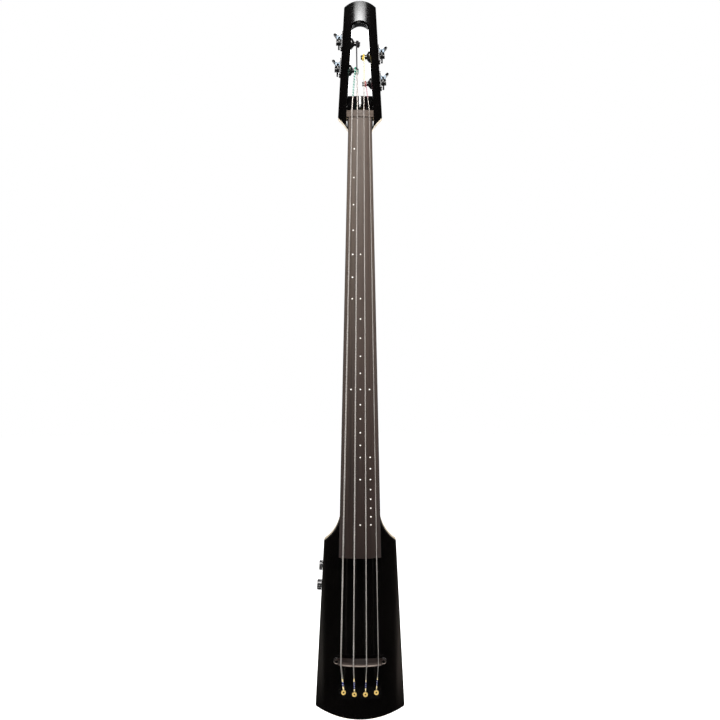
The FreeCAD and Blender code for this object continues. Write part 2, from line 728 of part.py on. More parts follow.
def bridge_face():
    """The bridge's outline seen along Z: arched top, ears for the studs, arched underside."""
    top_side = arch_depth(BRIDGE_CREST, BRIDGE_TOP_R, BRIDGE_TOP_HALF)
    ear_end = BRIDGE_EAR_X + BRIDGE_EAR_R
    ear_in = BRIDGE_TOP_HALF + 3.0

    def p(x, depth):
        return at(x, depth, 0)

    def half(sign):
        corners = [p(sign * BRIDGE_TOP_HALF, top_side), p(sign * ear_in, BRIDGE_EAR_TOP),
                   p(sign * ear_end, BRIDGE_EAR_TOP), p(sign * ear_end, BRIDGE_BASE),
                   p(sign * BRIDGE_FOOT_X, BRIDGE_BASE)]
        return [Part.LineSegment(a, b).toShape() for a, b in zip(corners, corners[1:])]

    def span(x, end, middle):
        return Part.Arc(p(-x, end), p(0, middle), p(x, end)).toShape()

    edges = [span(BRIDGE_TOP_HALF, top_side, BRIDGE_CREST),
             span(BRIDGE_FOOT_X, BRIDGE_BASE, BRIDGE_BASE + BRIDGE_ARCH_RISE)]
    edges += half(1) + half(-1)
    return Part.Face(Part.Wire(Part.__sortEdges__(edges)))


def bridge_blank():
    """Thick at its base, thinner at its top, with the slope on the side of the neck."""
    tail = BRIDGE_Z - BRIDGE_TOP_THICK / 2
    base_tail = STUD_Z - BRIDGE_BASE_THICK / 2
    face = bridge_face()
    face.translate(V(0, 0, base_tail))
    block = face.extrude(V(0, 0, BRIDGE_BASE_THICK))
    base_neck = base_tail + BRIDGE_BASE_THICK
    taper = side_prism([(BRIDGE_BASE - 1, base_tail), (BRIDGE_BASE - 1, base_neck), (BRIDGE_EAR_TOP, base_neck),
                        (BRIDGE_CREST + 1, tail + BRIDGE_TOP_THICK), (BRIDGE_CREST + 1, tail),
                        (BRIDGE_EAR_TOP, base_tail)], 60)
    block = block.common(taper)
    for sign in (-1, 1):
        corner = box(V(min(sign * 45, sign * 60), -BRIDGE_CREST, base_tail - 1),
                     V(max(sign * 45, sign * 60), -BRIDGE_BASE + 1, base_tail + BRIDGE_BASE_THICK + 1))
        foot = at(sign * BRIDGE_EAR_X, BRIDGE_BASE - 5, STUD_Z)
        round_ear = Part.makeCylinder(BRIDGE_EAR_R, 40, foot, V(0, -1, 0))
        keep = box(V(min(sign * 44, sign * BRIDGE_EAR_X), -BRIDGE_CREST, STUD_Z - BRIDGE_EAR_R),
                   V(max(sign * 44, sign * BRIDGE_EAR_X), -BRIDGE_BASE + 1, STUD_Z + BRIDGE_EAR_R))
        block = block.cut(corner.cut(round_ear.fuse(keep)))
    return block


def bridge_parts():
    """The bridge, with string grooves, stud holes and pockets for the two sensors."""
    grooves = [cut for s in STRINGS.values() for cut in open_groove(s, string_points(s)[1:4], STRING_GAP)]
    hole_r = STUD_R + RUNNING_CLEARANCE
    holes = [Part.makeCylinder(hole_r, 30, at(side * BRIDGE_EAR_X, 45, STUD_Z), V(0, -1, 0)) for side in (-1, 1)]
    sensors = [box(at(x - SENSOR_HALF, BRIDGE_BASE + SENSOR_TALL, STUD_Z - 4),
                   at(x + SENSOR_HALF, BRIDGE_BASE, STUD_Z + 4)) for x in (-SENSOR_X, SENSOR_X)]
    lead = Part.makeCylinder(1.6, 12, at(0, BRIDGE_BASE, STUD_Z), V(0, -1, 0))
    return bridge_blank().cut(grooves + holes + sensors + [lead]), sensors


def thumbwheel(sign):
    """A knurled wheel on the stud, a hair under the bridge's ear."""
    low = BRIDGE_BASE - 0.3 - THUMBWHEEL_THICK
    x = sign * BRIDGE_EAR_X
    wheel = ring(THUMBWHEEL_R, STUD_R + RUNNING_CLEARANCE, at(x, low, STUD_Z), V(0, -1, 0), THUMBWHEEL_THICK)
    cuts = []
    reach = THUMBWHEEL_R + 0.2
    for n in range(24):
        angle = 2 * math.pi * n / 24
        centre = at(x + reach * math.cos(angle), low, STUD_Z + reach * math.sin(angle))
        cuts.append(Part.makeCylinder(0.55, THUMBWHEEL_THICK, centre, V(0, -1, 0)))
    return wheel.cut(cuts)


def bridge_stud(sign):
    x = sign * BRIDGE_EAR_X
    stud = Part.makeCylinder(STUD_R, BRIDGE_EAR_TOP - 28.0, at(x, 28.0, STUD_Z), V(0, -1, 0))
    driver = box(at(x - 0.5, BRIDGE_EAR_TOP + 1, STUD_Z - 4), at(x + 0.5, BRIDGE_EAR_TOP - 1.6, STUD_Z + 4))
    return stud.cut(driver)


def stud_bushing(sign):
    x = sign * BRIDGE_EAR_X
    bushing = ring(5.0, STUD_R, at(x, 26.0, STUD_Z), V(0, -1, 0), 20.0)
    return bushing.common(arch(BODY_CREST, BODY_ARCH_R, STUD_Z - 10, STUD_Z + 10))


# ---- tuners: local frame with x out of the cheek, y to the back and z up ------------------------

CENTRE_DISTANCE = WHEEL_TEETH * WHEEL_MODULE / 2 + WORM_PITCH_R + CENTRE_SLACK
WORM_PITCH = math.pi * WHEEL_MODULE
WORM_TURNS = 6
WORM_START = -(WORM_TURNS / 2 + 0.25) * WORM_PITCH


def on_cheek(shape, spec):
    """Places a part made in the tuner's local frame on the right or left cheek."""
    placed = shape.copy()
    placed.rotate(V(0, 0, 0), Y, -CHEEK_ANGLE)
    placed.translate(at(head_half(spec["post_z"]), POST_DEPTH, spec["post_z"]))
    if spec["nut_x"] < 0:
        placed = placed.mirror(V(0, 0, 0), X)
    return placed


def tube(radius, x0, x1):
    """A cylinder on the post's axis."""
    return Part.makeCylinder(radius, x1 - x0, V(x0, 0, 0), X)


def worm_rod(radius, y0, y1):
    """A cylinder on the worm's axis."""
    return Part.makeCylinder(radius, y1 - y0, V(WORM_X, y0, CENTRE_DISTANCE), Y)


def tuner_plate():
    plate = box(V(0, -PLATE_HALF, PLATE_BOTTOM), V(PLATE_THICK, PLATE_HALF, PLATE_TOP))
    plate = plate.makeFillet(3.0, [e for e in plate.Edges if abs(e.tangentAt(e.FirstParameter).x) > 0.99])
    return plate.cut([tube(POST_R + RUNNING_CLEARANCE, -1, PLATE_THICK + 1)])


def saddle():
    """The chrome block over the worm wheel, with the worm's barrel along its top."""
    half = BARREL_HALF - 1.5
    block = box(V(PLATE_THICK, -half, SADDLE_LOW), V(SADDLE_OUT, half, CENTRE_DISTANCE))
    long_edges = [e for e in block.Edges if e.CenterOfMass.x > SADDLE_OUT - 0.1 and e.Length > 8]
    block = block.makeFillet(0.9, long_edges)
    barrel = worm_rod(BARREL_R, -BARREL_HALF, BARREL_HALF)
    rims = [e for e in barrel.Edges if e.Curve.TypeId == "Part::GeomCircle"]
    barrel = barrel.makeFillet(0.6, rims)
    body = block.fuse(barrel)
    room = tube(WHEEL_TEETH * WHEEL_MODULE / 2 + 1.4, WHEEL_X[0] - 0.5, WHEEL_X[1] + 0.5)
    bore = worm_rod(WORM_COLLAR_R + RUNNING_CLEARANCE, -BARREL_HALF + 1.4, BARREL_HALF + 1)
    return body.cut([room, bore])


def worm():
    """A single-start right-hand worm, running in collars at both ends of the barrel."""
    root = WORM_ROOT_R - 0.3
    half_root = WORM_PITCH / 4 - TOOTH_THINNING / 2 + (WORM_PITCH_R - root) * math.tan(math.radians(20))
    half_tip = WORM_PITCH / 4 - TOOTH_THINNING / 2 - (WORM_TIP_R - WORM_PITCH_R) * math.tan(math.radians(20))
    profile = Part.makePolygon([V(root, 0, -half_root), V(WORM_TIP_R, 0, -half_tip),
                                V(WORM_TIP_R, 0, half_tip), V(root, 0, half_root), V(root, 0, -half_root)])
    helix = Part.makeHelix(WORM_PITCH, WORM_PITCH * WORM_TURNS, WORM_PITCH_R)
    thread = Part.Wire(helix).makePipeShell([profile], True, True)
    thread.rotate(V(0, 0, 0), X, -90)
    thread.translate(V(WORM_X, WORM_START, CENTRE_DISTANCE))
    low = -BARREL_HALF + 1.6
    shaft = worm_rod(WORM_ROOT_R, low, KEY_CENTRE_Y - 12.0)
    front = worm_rod(WORM_COLLAR_R, low, low + 1.2)
    back = worm_rod(WORM_COLLAR_R, BARREL_HALF - 3.4, BARREL_HALF + 0.4)
    return shaft.fuse([thread, front, back])


def worm_wheel():
    """An involute wheel whose teeth lie along the worm's thread, a space uppermost."""
    pitch_r = WHEEL_TEETH * WHEEL_MODULE / 2
    base_r = pitch_r * math.cos(math.radians(20))
    radii = (pitch_r - 0.95, pitch_r - 0.05, pitch_r + 0.7)

    def half_tooth(radius):
        roll = math.acos(min(1.0, base_r / radius))
        involute = math.tan(roll) - roll
        pitch_involute = math.tan(math.radians(20)) - math.radians(20)
        return math.pi / (2 * WHEEL_TEETH) - TOOTH_THINNING / pitch_r + pitch_involute - involute

    def section(x):
        turn = math.tan(math.atan2(WORM_PITCH, 2 * math.pi * WORM_PITCH_R)) * (x - WORM_X) / pitch_r
        points = []
        for n in range(WHEEL_TEETH):
            centre = turn + (n + 0.5) * 2 * math.pi / WHEEL_TEETH
            flank = [(r, centre - half_tooth(r)) for r in radii]
            flank += [(r, centre + half_tooth(r)) for r in reversed(radii)]
            points += [V(x, r * math.sin(a), -r * math.cos(a)) for r, a in flank]
        return Part.makePolygon(points + points[:1])

    teeth = Part.makeLoft([section(WHEEL_X[0]), section(WHEEL_X[1])], True, True)
    hub = tube(5.0, PLATE_THICK + 0.2, WHEEL_X[0])
    return teeth.fuse(hub).cut(tube(POST_STUB_R, 0, 20))


def post():
    """The winding post, forked at its tip, and the stub that carries the wheel."""
    spool = tube(POST_R, POST_TIP_X, PLATE_THICK + 0.2)
    tip = [e for e in spool.Edges if abs(e.CenterOfMass.x - POST_TIP_X) < 1e-6]
    spool = spool.makeChamfer(0.5, tip)
    stub = tube(POST_STUB_R, PLATE_THICK + 0.2, 9.5)
    fork = box(V(POST_TIP_X - 1, -6, -FORK_HALF), V(POST_TIP_X + FORK_DEPTH, 6, FORK_HALF))
    return spool.fuse(stub).removeSplitter().cut(fork)


def post_cap():
    cap = tube(CAP_R, WHEEL_X[1], CAP_OUT)
    cap = cap.makeFillet(0.5, [e for e in cap.Edges if abs(e.CenterOfMass.x - CAP_OUT) < 1e-6])
    driver = box(V(CAP_OUT - 1.2, -3.6, -0.6), V(CAP_OUT + 1, 3.6, 0.6))
    return cap.cut([tube(POST_STUB_R, 0, 9.5), driver])


def flare():
    """The bushing's sleeve through the cheek and its domed flange on the slot's wall."""
    wall = -CHEEK
    profile = [V(0, POST_R + RUNNING_CLEARANCE, 0), V(0, SLEEVE_R, 0),
               V(wall, SLEEVE_R, 0), V(wall, FLARE_R, 0),
               V(wall - 1.2, FLARE_R, 0), V(wall - 3.2, FLARE_R - 2.2, 0), V(wall - 4.6, SLEEVE_R + 0.6, 0),
               V(wall - FLARE_PROUD, SLEEVE_R - 0.6, 0), V(wall - FLARE_PROUD, POST_R + RUNNING_CLEARANCE, 0)]
    return Part.Face(Part.makePolygon(profile + profile[:1])).revolve(V(0, 0, 0), X, 360)


def key():
    """A two-lobed paddle on a stem, set at an angle across the worm's axis."""
    lobes = [Part.makeCylinder(KEY_LOBE_R, KEY_THICK, V(s * KEY_LOBE_OFFSET, KEY_CENTRE_Y, -KEY_THICK / 2), Z)
             for s in (-1, 1)]
    paddle = lobes[0].fuse(lobes[1]).removeSplitter()
    rims = [e for e in paddle.Edges if abs(abs(e.CenterOfMass.z) - KEY_THICK / 2) < 1e-6]
    paddle = paddle.makeFillet(1.2, rims)
    paddle.rotate(V(0, 0, 0), Y, -KEY_TILT)
    paddle.translate(V(WORM_X, 0, CENTRE_DISTANCE))
    stem = worm_rod(3.8, BARREL_HALF + 0.8, KEY_CENTRE_Y - 6.0)
    return paddle.fuse(stem).cut(worm_rod(WORM_ROOT_R, 0, KEY_CENTRE_Y - 12.0))


def tuner_screw(side):
    head = Part.makeCylinder(2.0, 1.2, V(PLATE_THICK, side * 10.4, -10.9), X)
    shank = Part.makeCylinder(1.2, 10.0, V(PLATE_THICK - 10.0, side * 10.4, -10.9), X)
    return head.fuse(shank).removeSplitter()


# ---- circuit ------------------------------------------------------------------------------

BOARD_DEPTH = 25.0
WIRE_R = 0.8
TUNNEL_DEPTH = 20.0


def circuit_board():
    board = box(at(-50, BOARD_DEPTH + 1.6, 70), at(-24, BOARD_DEPTH, 140))
    chips = [box(at(-40, BOARD_DEPTH, z), at(-33, BOARD_DEPTH - 3, z + 5)) for z in (98, 110)]
    posts = [rod(at(-37, BOARD_DEPTH + 1.6, z), at(-37, CAVITY_FLOOR, z), 2.0) for z in (76, 134)]
    return board.fuse(chips + posts)


def wires():
    """Volume and tone leads, the lead to the jack, and the sensors' lead up into the bridge."""
    skin = BOARD_DEPTH - 0.1
    routes = [[at(-54.9, KNOB_DEPTH, 123.4), at(-46, KNOB_DEPTH, 121), at(-46, skin, 121)],
              [at(-57.0, KNOB_DEPTH, 84.5), at(-46, KNOB_DEPTH, 88), at(-46, skin, 88)],
              [at(-30, skin, JACK_Z), at(-30, TUNNEL_DEPTH, JACK_Z),
               at(JACK_X - JACK_BARREL_R - 0.1, TUNNEL_DEPTH, JACK_Z)],
              [at(-34, skin, 73), at(-34, TUNNEL_DEPTH, 73), at(-30, TUNNEL_DEPTH, CAVITY_BOTTOM_Z),
               at(0, TUNNEL_DEPTH, STUD_Z), at(0, BRIDGE_BASE + 7, STUD_Z)]]
    solids = []
    for points in routes:
        runs = [rod(a, b, WIRE_R) for a, b in zip(points, points[1:])]
        bends = [Part.makeSphere(WIRE_R, p) for p in points[1:-1]]
        solids.append(runs[0].fuse(runs[1:] + bends))
    return solids


def tunnels():
    return [rod(at(CAVITY_RIGHT_X - 1, TUNNEL_DEPTH, JACK_Z), at(JACK_X, TUNNEL_DEPTH, JACK_Z), 3.0),
            rod(at(-30, TUNNEL_DEPTH, CAVITY_BOTTOM_Z + 3), at(0, TUNNEL_DEPTH, STUD_Z), 2.5),
            Part.makeSphere(2.5, at(0, TUNNEL_DEPTH, STUD_Z)),
            rod(at(0, TUNNEL_DEPTH, STUD_Z), at(0, BODY_CREST + 5, STUD_Z), 2.5)]


# ---- assembly -----------------------------------------------------------------------------

def make_body(screws, pots):
    cuts = [tongue(), cavity(), anchor_blank(), stand_plate(), stand_holes()]
    cuts.append(Part.makeCylinder(JACK_PLATE_R, 3.0, at(JACK_X, 0, JACK_Z), V(0, -1, 0)))
    cuts.append(Part.makeCylinder(JACK_BARREL_R, JACK_LENGTH, at(JACK_X, 0, JACK_Z), V(0, -1, 0)))
    cuts += screws + tunnels() + pots
    for sign in (-1, 1):
        cuts.append(Part.makeCylinder(5.0, 20.0, at(sign * BRIDGE_EAR_X, 26.0, STUD_Z), V(0, -1, 0)))
        cuts.append(anchor_screw(sign * 21.5)[0])
    return rounded_body().cut(cuts)


def board_channel():
    """Everything above the glue plane under the fingerboard and the nut."""
    half = board_half(HEAD_NECK_Z - 1)
    outline = wire((-half, HEAD_NECK_Z - 1), (half, HEAD_NECK_Z - 1), (BOARD_NUT_HALF, NUT_Z),
                   (-BOARD_NUT_HALF, NUT_Z))
    block = slab(outline, 50, 90)
    above = side_prism([(board_base(HEAD_NECK_Z - 1), HEAD_NECK_Z - 1), (90, HEAD_NECK_Z - 1), (90, NUT_Z),
                        (board_base(NUT_Z), NUT_Z)], 60)
    seat = box(at(-NUT_HALF, 90, NUT_Z), at(NUT_HALF, NUT_SEAT, NUT_Z + NUT_LENGTH))
    return block.common(above).fuse(seat)


def make_neck():
    shaft = Part.makeLoft([neck_section(NECK_START_Z), neck_section(NECK_END_Z)], True, True)
    wood = shaft.cut(body_blank()).fuse([head(), tongue()])
    cuts = [string_slot(), board_channel(), carbon_bar(-1), carbon_bar(1)]
    cuts += [shoulder_window(-1), shoulder_window(1)]
    cuts.append(rod(truss_line(215.0), truss_line(1048.0), STUD_R))
    cuts.append(rod(truss_line(1031.0), truss_line(1075.0), 5.5))
    for spec in STRINGS.values():
        cuts.append(on_cheek(tube(SLEEVE_R, -CHEEK - 3, 3), spec))
        cuts += [on_cheek(tuner_screw(side), spec) for side in (-1, 1)]
    return wood.cut(cuts)


def truss_nut():
    low = truss_line(1037.5)
    axis = truss_line(1053.0) - low
    nut = Part.makeCylinder(4.0, axis.Length, low, axis)
    thread = Part.makeCylinder(STUD_R + RUNNING_CLEARANCE, 9.0, low, axis)
    socket = Part.makeCylinder(2.0, axis.Length + 1, low, axis)
    return nut.cut([thread, socket])


def main():
    os.makedirs("parts", exist_ok=True)
    pots = {name: pot_parts(knob) for name, knob in KNOBS.items()}
    whole_screws, cut_screws = back_screws()
    pot_holes = [on_side(Part.makeCylinder(3.5, 14.0, V(0, 0, -12.0), Z), knob["z"]) for knob in KNOBS.values()]
    save("body", make_body(whole_screws, pot_holes))
    save("neck", make_neck())
    dots = position_dots()
    save("fingerboard", fingerboard_blank().cut(dots))
    save("position_dots", group(dots))
    near_nut = [string_clearance(s, string_points(s)[2:6], STRING_GAP) for s in STRINGS.values()]
    save("nut", nut_blank().cut(near_nut))
    save("truss_rod", rod(truss_line(215.0), truss_line(1044.5), STUD_R))
    save("truss_nut", truss_nut())
    save("carbon_bars", group([carbon_bar(-1), carbon_bar(1)]))

    anchor_screws = [anchor_screw(sign * 21.5) for sign in (-1, 1)]
    save("tail_anchor", anchor_blank().cut(anchor_wells() + [whole for whole, _ in anchor_screws]))
    save("anchor_screws", group([whole.cut(slot) for whole, slot in anchor_screws]))
    save("ball_ends", group([ball(spec) for spec in STRINGS.values()]))
    for name, spec in STRINGS.items():
        save("string_" + name, string(spec))

    bridge, sensors = bridge_parts()
    save("bridge", bridge)
    room = [pocket.BoundBox for pocket in sensors]
    save("piezo_sensors", group([box(V(b.XMin, b.YMin, b.ZMin), V(b.XMax, b.YMax - 0.6, b.ZMax)) for b in room]))
    save("thumbwheel_left", thumbwheel(-1))
    save("thumbwheel_right", thumbwheel(1))
    save("bridge_studs", group([bridge_stud(-1), bridge_stud(1)]))
    save("stud_bushings", group([stud_bushing(-1), stud_bushing(1)]))

    save("stand_plate", stand_plate().cut([stand_holes()] + whole_screws))
    save("cavity_cover", cover_plate().cut(whole_screws))
    save("jack_plate", jack_plate().cut(whole_screws))
    save("back_screws", group(cut_screws))
    save("jack_socket", jack_socket())
    for name, (pot, nut, shaft, knob) in pots.items():
        save(name + "_pot", pot)
        save(name + "_shaft", shaft)
        save(name + "_knob", knob)
    save("pot_nuts", group([parts[1] for parts in pots.values()]))
    save("circuit_board", circuit_board())
    save("wiring", group(wires()))

    plate_screws = [tuner_screw(side) for side in (-1, 1)]
    save("tuner_plates", group([on_cheek(tuner_plate().cut(plate_screws), s) for s in STRINGS.values()]))
    save("tuner_saddles", group([on_cheek(saddle(), s) for s in STRINGS.values()]))
    save("post_bushings", group([on_cheek(flare(), s) for s in STRINGS.values()]))
    save("tuner_screws", group([on_cheek(screw, s) for s in STRINGS.values() for screw in plate_screws]))
    moving = {"worm": worm(), "worm_wheel": worm_wheel(), "post": post(), "post_cap": post_cap(),
              "key": key()}
    for name, spec in STRINGS.items():
        for part, shape in moving.items():
            save("%s_%s" % (part, name), on_cheek(shape, spec))


main()
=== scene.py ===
import math

import bmesh
import bpy
from mathutils import Matrix, Vector


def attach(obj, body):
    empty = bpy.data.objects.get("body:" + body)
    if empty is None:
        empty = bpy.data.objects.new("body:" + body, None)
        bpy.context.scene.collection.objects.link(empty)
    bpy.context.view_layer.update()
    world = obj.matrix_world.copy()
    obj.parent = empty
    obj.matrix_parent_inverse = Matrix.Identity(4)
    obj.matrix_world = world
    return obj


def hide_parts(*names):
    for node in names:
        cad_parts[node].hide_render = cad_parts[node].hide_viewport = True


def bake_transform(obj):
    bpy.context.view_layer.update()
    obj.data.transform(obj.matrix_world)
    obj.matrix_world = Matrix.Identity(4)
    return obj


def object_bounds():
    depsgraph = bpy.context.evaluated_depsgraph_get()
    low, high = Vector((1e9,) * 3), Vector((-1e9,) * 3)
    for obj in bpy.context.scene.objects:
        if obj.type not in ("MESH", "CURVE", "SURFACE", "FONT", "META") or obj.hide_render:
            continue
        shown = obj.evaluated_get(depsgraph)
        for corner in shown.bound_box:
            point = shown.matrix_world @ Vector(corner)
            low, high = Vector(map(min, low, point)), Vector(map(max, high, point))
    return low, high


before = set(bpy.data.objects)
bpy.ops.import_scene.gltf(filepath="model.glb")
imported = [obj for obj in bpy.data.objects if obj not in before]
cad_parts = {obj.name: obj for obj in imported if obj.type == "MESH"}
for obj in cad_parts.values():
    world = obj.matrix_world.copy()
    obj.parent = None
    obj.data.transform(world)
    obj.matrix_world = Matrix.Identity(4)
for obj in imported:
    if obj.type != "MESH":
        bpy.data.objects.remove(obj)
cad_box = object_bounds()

# Electric upright double bass. Lengths are metres, heights run up the neck along +Z, and the
# front faces -Y. "Depth" is the distance in front of the back plane, so y = -depth.

MM = 0.001
EVEN = (1, 1, 1)

# ---- the strings' line, repeated from the part ---------------------------------------------

BRIDGE_Z = -60.2
NUT_Z = 1010.8
BOARD_FOOT_Z = 146.5
NUT_LENGTH = 12.6
BODY_ARCH = (46.0, 210.0)
BOARD_ARCH = (74.0, 66.0)
BRIDGE_ARCH = (82.6, 74.0)
LIP_Z = -113.0
LIP_SINK = 0.4
BRIDGE_SINK = 0.6
NUT_LIFT = 1.2
BALL_TOP = 5.0
POST_DEPTH = 54.0
POST_R = 4.3
WINDING_GAP = 0.3
WINDING_INSET = 28.0

STRINGS = {
    "e": {"nut_x": -15.8, "bridge_x": -37.4, "ball": (-32.5, -123.5), "r": 1.4, "post_z": 1106.6,
          "silk": "green", "head_silk_z": 1050.0, "tail_silk": (7.0, 14.0, 27.0, 34.0)},
    "a": {"nut_x": -5.0, "bridge_x": -12.65, "ball": (-11.0, -126.7), "r": 1.15, "post_z": 1159.2,
          "silk": "black", "head_silk_z": 1104.0, "tail_silk": (7.0, 11.0, 32.0, 41.0)},
    "d": {"nut_x": 7.6, "bridge_x": 12.7, "ball": (10.8, -126.7), "r": 0.9, "post_z": 1133.0,
          "silk": "yellow", "head_silk_z": 1083.0, "tail_silk": (7.0, 13.0, 31.0, 37.0)},
    "g": {"nut_x": 18.1, "bridge_x": 36.0, "ball": (32.4, -123.5), "r": 0.7, "post_z": 1080.5,
          "silk": "red", "head_silk_z": 1049.0, "tail_silk": (7.0, 15.0, 31.0, 37.0)},
}


def at(x, depth, z):
    return Vector((x, -depth, z)) * MM


def arch_depth(arch, x):
    crest, radius = arch
    return crest - radius + math.sqrt(radius ** 2 - x ** 2)


CHEEK_SLOPE = 0.057129
CHEEK_TILT = math.atan(CHEEK_SLOPE)
CHEEK_FOOT_Z = 1010.0
CHEEK_FOOT_HALF = 43.3
CHEEK_HALF_WALL = 8.0
SLOT_HEIGHTS = (1.0236, 1.2005)


def head_half(z):
    """Half the head's width at its cheeks."""
    return CHEEK_FOOT_HALF - CHEEK_SLOPE * (z - CHEEK_FOOT_Z)


# ---- mesh helpers ---------------------------------------------------------------------------

def finish_mesh(bm, name, material, body, smooth=40.0):
    """Turns a bmesh into a piece that rides on a body, or on none when no body is given."""
    mesh = bpy.data.meshes.new(name)
    bm.normal_update()
    bm.to_mesh(mesh)
    bm.free()
    mesh.materials.append(material)
    piece = bpy.data.objects.new(name, mesh)
    bpy.context.scene.collection.objects.link(piece)
    for face in mesh.polygons:
        face.use_smooth = True
    mesh.set_sharp_from_angle(angle=math.radians(smooth))
    if body:
        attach(piece, body)
    return piece


def frames_along(points):
    """A turning frame at each point of a line, with its local z along the line."""
    tangents = []
    for n, point in enumerate(points):
        before = points[max(n - 1, 0)]
        after = points[min(n + 1, len(points) - 1)]
        tangents.append((after - before).normalized())
    side = tangents[0].orthogonal().normalized()
    frames = []
    for point, tangent in zip(points, tangents):
        side = (side - tangent * side.dot(tangent)).normalized()
        across = tangent.cross(side)
        matrix = Matrix((side, across, tangent)).transposed().to_4x4()
        matrix.translation = point
        frames.append(matrix)
    return frames


def drawn_tube(name, points, radius, material, body, sides=14, ridge=None):
    """A tube along a line, with a UV map: u once round, v in metres. ridge(v, u) scales the radius."""
    frames = frames_along(points)
    bm = bmesh.new()
    uv = bm.loops.layers.uv.new("UVMap")
    along = bm.verts.layers.float.new("along")
    turn = bm.verts.layers.int.new("turn")
    ring = bmesh.ops.create_circle(bm, segments=sides, radius=radius)["verts"]
    for n, v in enumerate(ring):
        v[turn] = n
    edges = list(bm.edges)
    here = Matrix.Identity(4)
    travelled = 0.0
    swollen = []
    for n, matrix in enumerate(frames):
        if n:
            grown = bmesh.ops.extrude_edge_only(bm, edges=edges)["geom"]
            ring = [g for g in grown if isinstance(g, bmesh.types.BMVert)]
            new = set(ring)
            edges = [g for g in grown if isinstance(g, bmesh.types.BMEdge) and set(g.verts) <= new]
            travelled += (matrix.translation - here.translation).length
        bmesh.ops.transform(bm, matrix=matrix @ here.inverted(), verts=ring)
        here = matrix
        for v in ring:
            v[along] = travelled
        if ridge:
            middle = matrix.translation
            for v in ring:
                swollen.append((v, middle + (v.co - middle) * ridge(travelled, v[turn] / sides)))
    for v, co in swollen:
        v.co = co
    for face in bm.faces:
        steps = [loop.vert[turn] for loop in face.loops]
        wraps = max(steps) - min(steps) > 1
        for loop in face.loops:
            step = loop.vert[turn]
            if wraps and step == 0:
                step = sides
            loop[uv].uv = (step / sides, loop.vert[along])
    bmesh.ops.holes_fill(bm, edges=[e for e in bm.edges if e.is_boundary], sides=0)
    bmesh.ops.recalc_face_normals(bm, faces=bm.faces)
    return finish_mesh(bm, name, material, body, smooth=60.0)


def spaced(points, spacing):
    """The same line with points at an even spacing."""
    out = []
    for a, b in zip(points, points[1:]):
        count = max(1, round((b - a).length / spacing))
        out += [a.lerp(b, n / count) for n in range(count)]
    return out + [points[-1]]


def softened(points, rounds, spacing):
    """The line at an even spacing with its corners eased."""
    line = spaced(points, spacing)
    for _ in range(rounds):
        eased = [(a + b * 2 + c) / 4 for a, b, c in zip(line, line[1:], line[2:])]
        line = [line[0]] + eased + [line[-1]]
    return line


# ---- material helpers -----------------------------------------------------------------------

class Finish:
    """A node material built step by step around one Principled shader."""

    def __init__(self, name, **settings):
        self.material = bpy.data.materials.new(name)
        self.material.use_nodes = True
        self.tree = self.material.node_tree
        self.shader = self.tree.nodes["Principled BSDF"]
        for socket, value in settings.items():
            self.shader.inputs[socket.replace("_", " ")].default_value = value
        self.place = self.node("ShaderNodeTexCoord")

    def node(self, kind, **values):
        made = self.tree.nodes.new(kind)
        for key, value in values.items():
            setattr(made, key, value)
        return made

    def link(self, source, target):
        self.tree.links.new(source, target)

    def set(self, socket, source):
        self.link(source, self.shader.inputs[socket])

    def feed(self, node, index, value):
        if isinstance(value, bpy.types.NodeSocket):
            self.link(value, node.inputs[index])
        elif value is not None:
            node.inputs[index].default_value = value

    def where(self, scale=EVEN, turn=(0, 0, 0), uv=False):
        """Object or UV coordinates, stretched by a Mapping node."""
        mapping = self.node("ShaderNodeMapping")
        self.link(self.place.outputs["UV" if uv else "Object"], mapping.inputs["Vector"])
        mapping.inputs["Scale"].default_value = scale
        mapping.inputs["Rotation"].default_value = turn
        return mapping.outputs["Vector"]

    def axis(self, name, source="Object"):
        split = self.node("ShaderNodeSeparateXYZ")
        self.link(self.place.outputs[source], split.inputs[0])
        return split.outputs[name]

    def math(self, operation, a, b=None, c=None):
        made = self.node("ShaderNodeMath", operation=operation)
        for index, value in enumerate((a, b, c)):
            self.feed(made, index, value)
        return made.outputs[0]

    def noise(self, vector, scale, detail=4.0, roughness=0.55, distortion=0.0):
        made = self.node("ShaderNodeTexNoise")
        self.link(vector, made.inputs["Vector"])
        for socket, value in (("Scale", scale), ("Detail", detail), ("Roughness", roughness),
                              ("Distortion", distortion)):
            made.inputs[socket].default_value = value
        return made.outputs["Fac"]

    def bands(self, vector, scale, distortion=0.0, direction="Z"):
        made = self.node("ShaderNodeTexWave", bands_direction=direction, wave_profile="SIN")
        self.link(vector, made.inputs["Vector"])
        made.inputs["Scale"].default_value = scale
        made.inputs["Distortion"].default_value = distortion
        return made.outputs["Fac"]

    def span(self, value, low, high, out_low=0.0, out_high=1.0):
        made = self.node("ShaderNodeMapRange")
        for index, given in enumerate((value, low, high, out_low, out_high)):
            self.feed(made, index, given)
        return made.outputs[0]

    def ramp(self, value, *stops):
        """Colours at places from 0 to 1: each stop is (place, (r, g, b))."""
        made = self.node("ShaderNodeValToRGB")
        self.link(value, made.inputs[0])
        elements = made.color_ramp.elements
        while len(elements) < len(stops):
            elements.new(0.5)
        for element, (place, colour) in zip(elements, stops):
            element.position = place
            element.color = (*colour, 1.0)
        return made.outputs["Color"]

    def mix(self, share, a, b):
        made = self.node("ShaderNodeMix", data_type="RGBA")
        for index, value in ((0, share), (6, a), (7, b)):
            if isinstance(value, tuple):
                value = (*value, 1.0)
            self.feed(made, index, value)
        return made.outputs[2]

    def bump(self, height, distance, strength=1.0, below=None):
        made = self.node("ShaderNodeBump")
        self.link(height, made.inputs["Height"])
        made.inputs["Distance"].default_value = distance
        made.inputs["Strength"].default_value = strength
        if below is not None:
            self.link(below, made.inputs["Normal"])
        return made.outputs["Normal"]


def dimmed(colour, share):
    return tuple(part * share for part in colour)


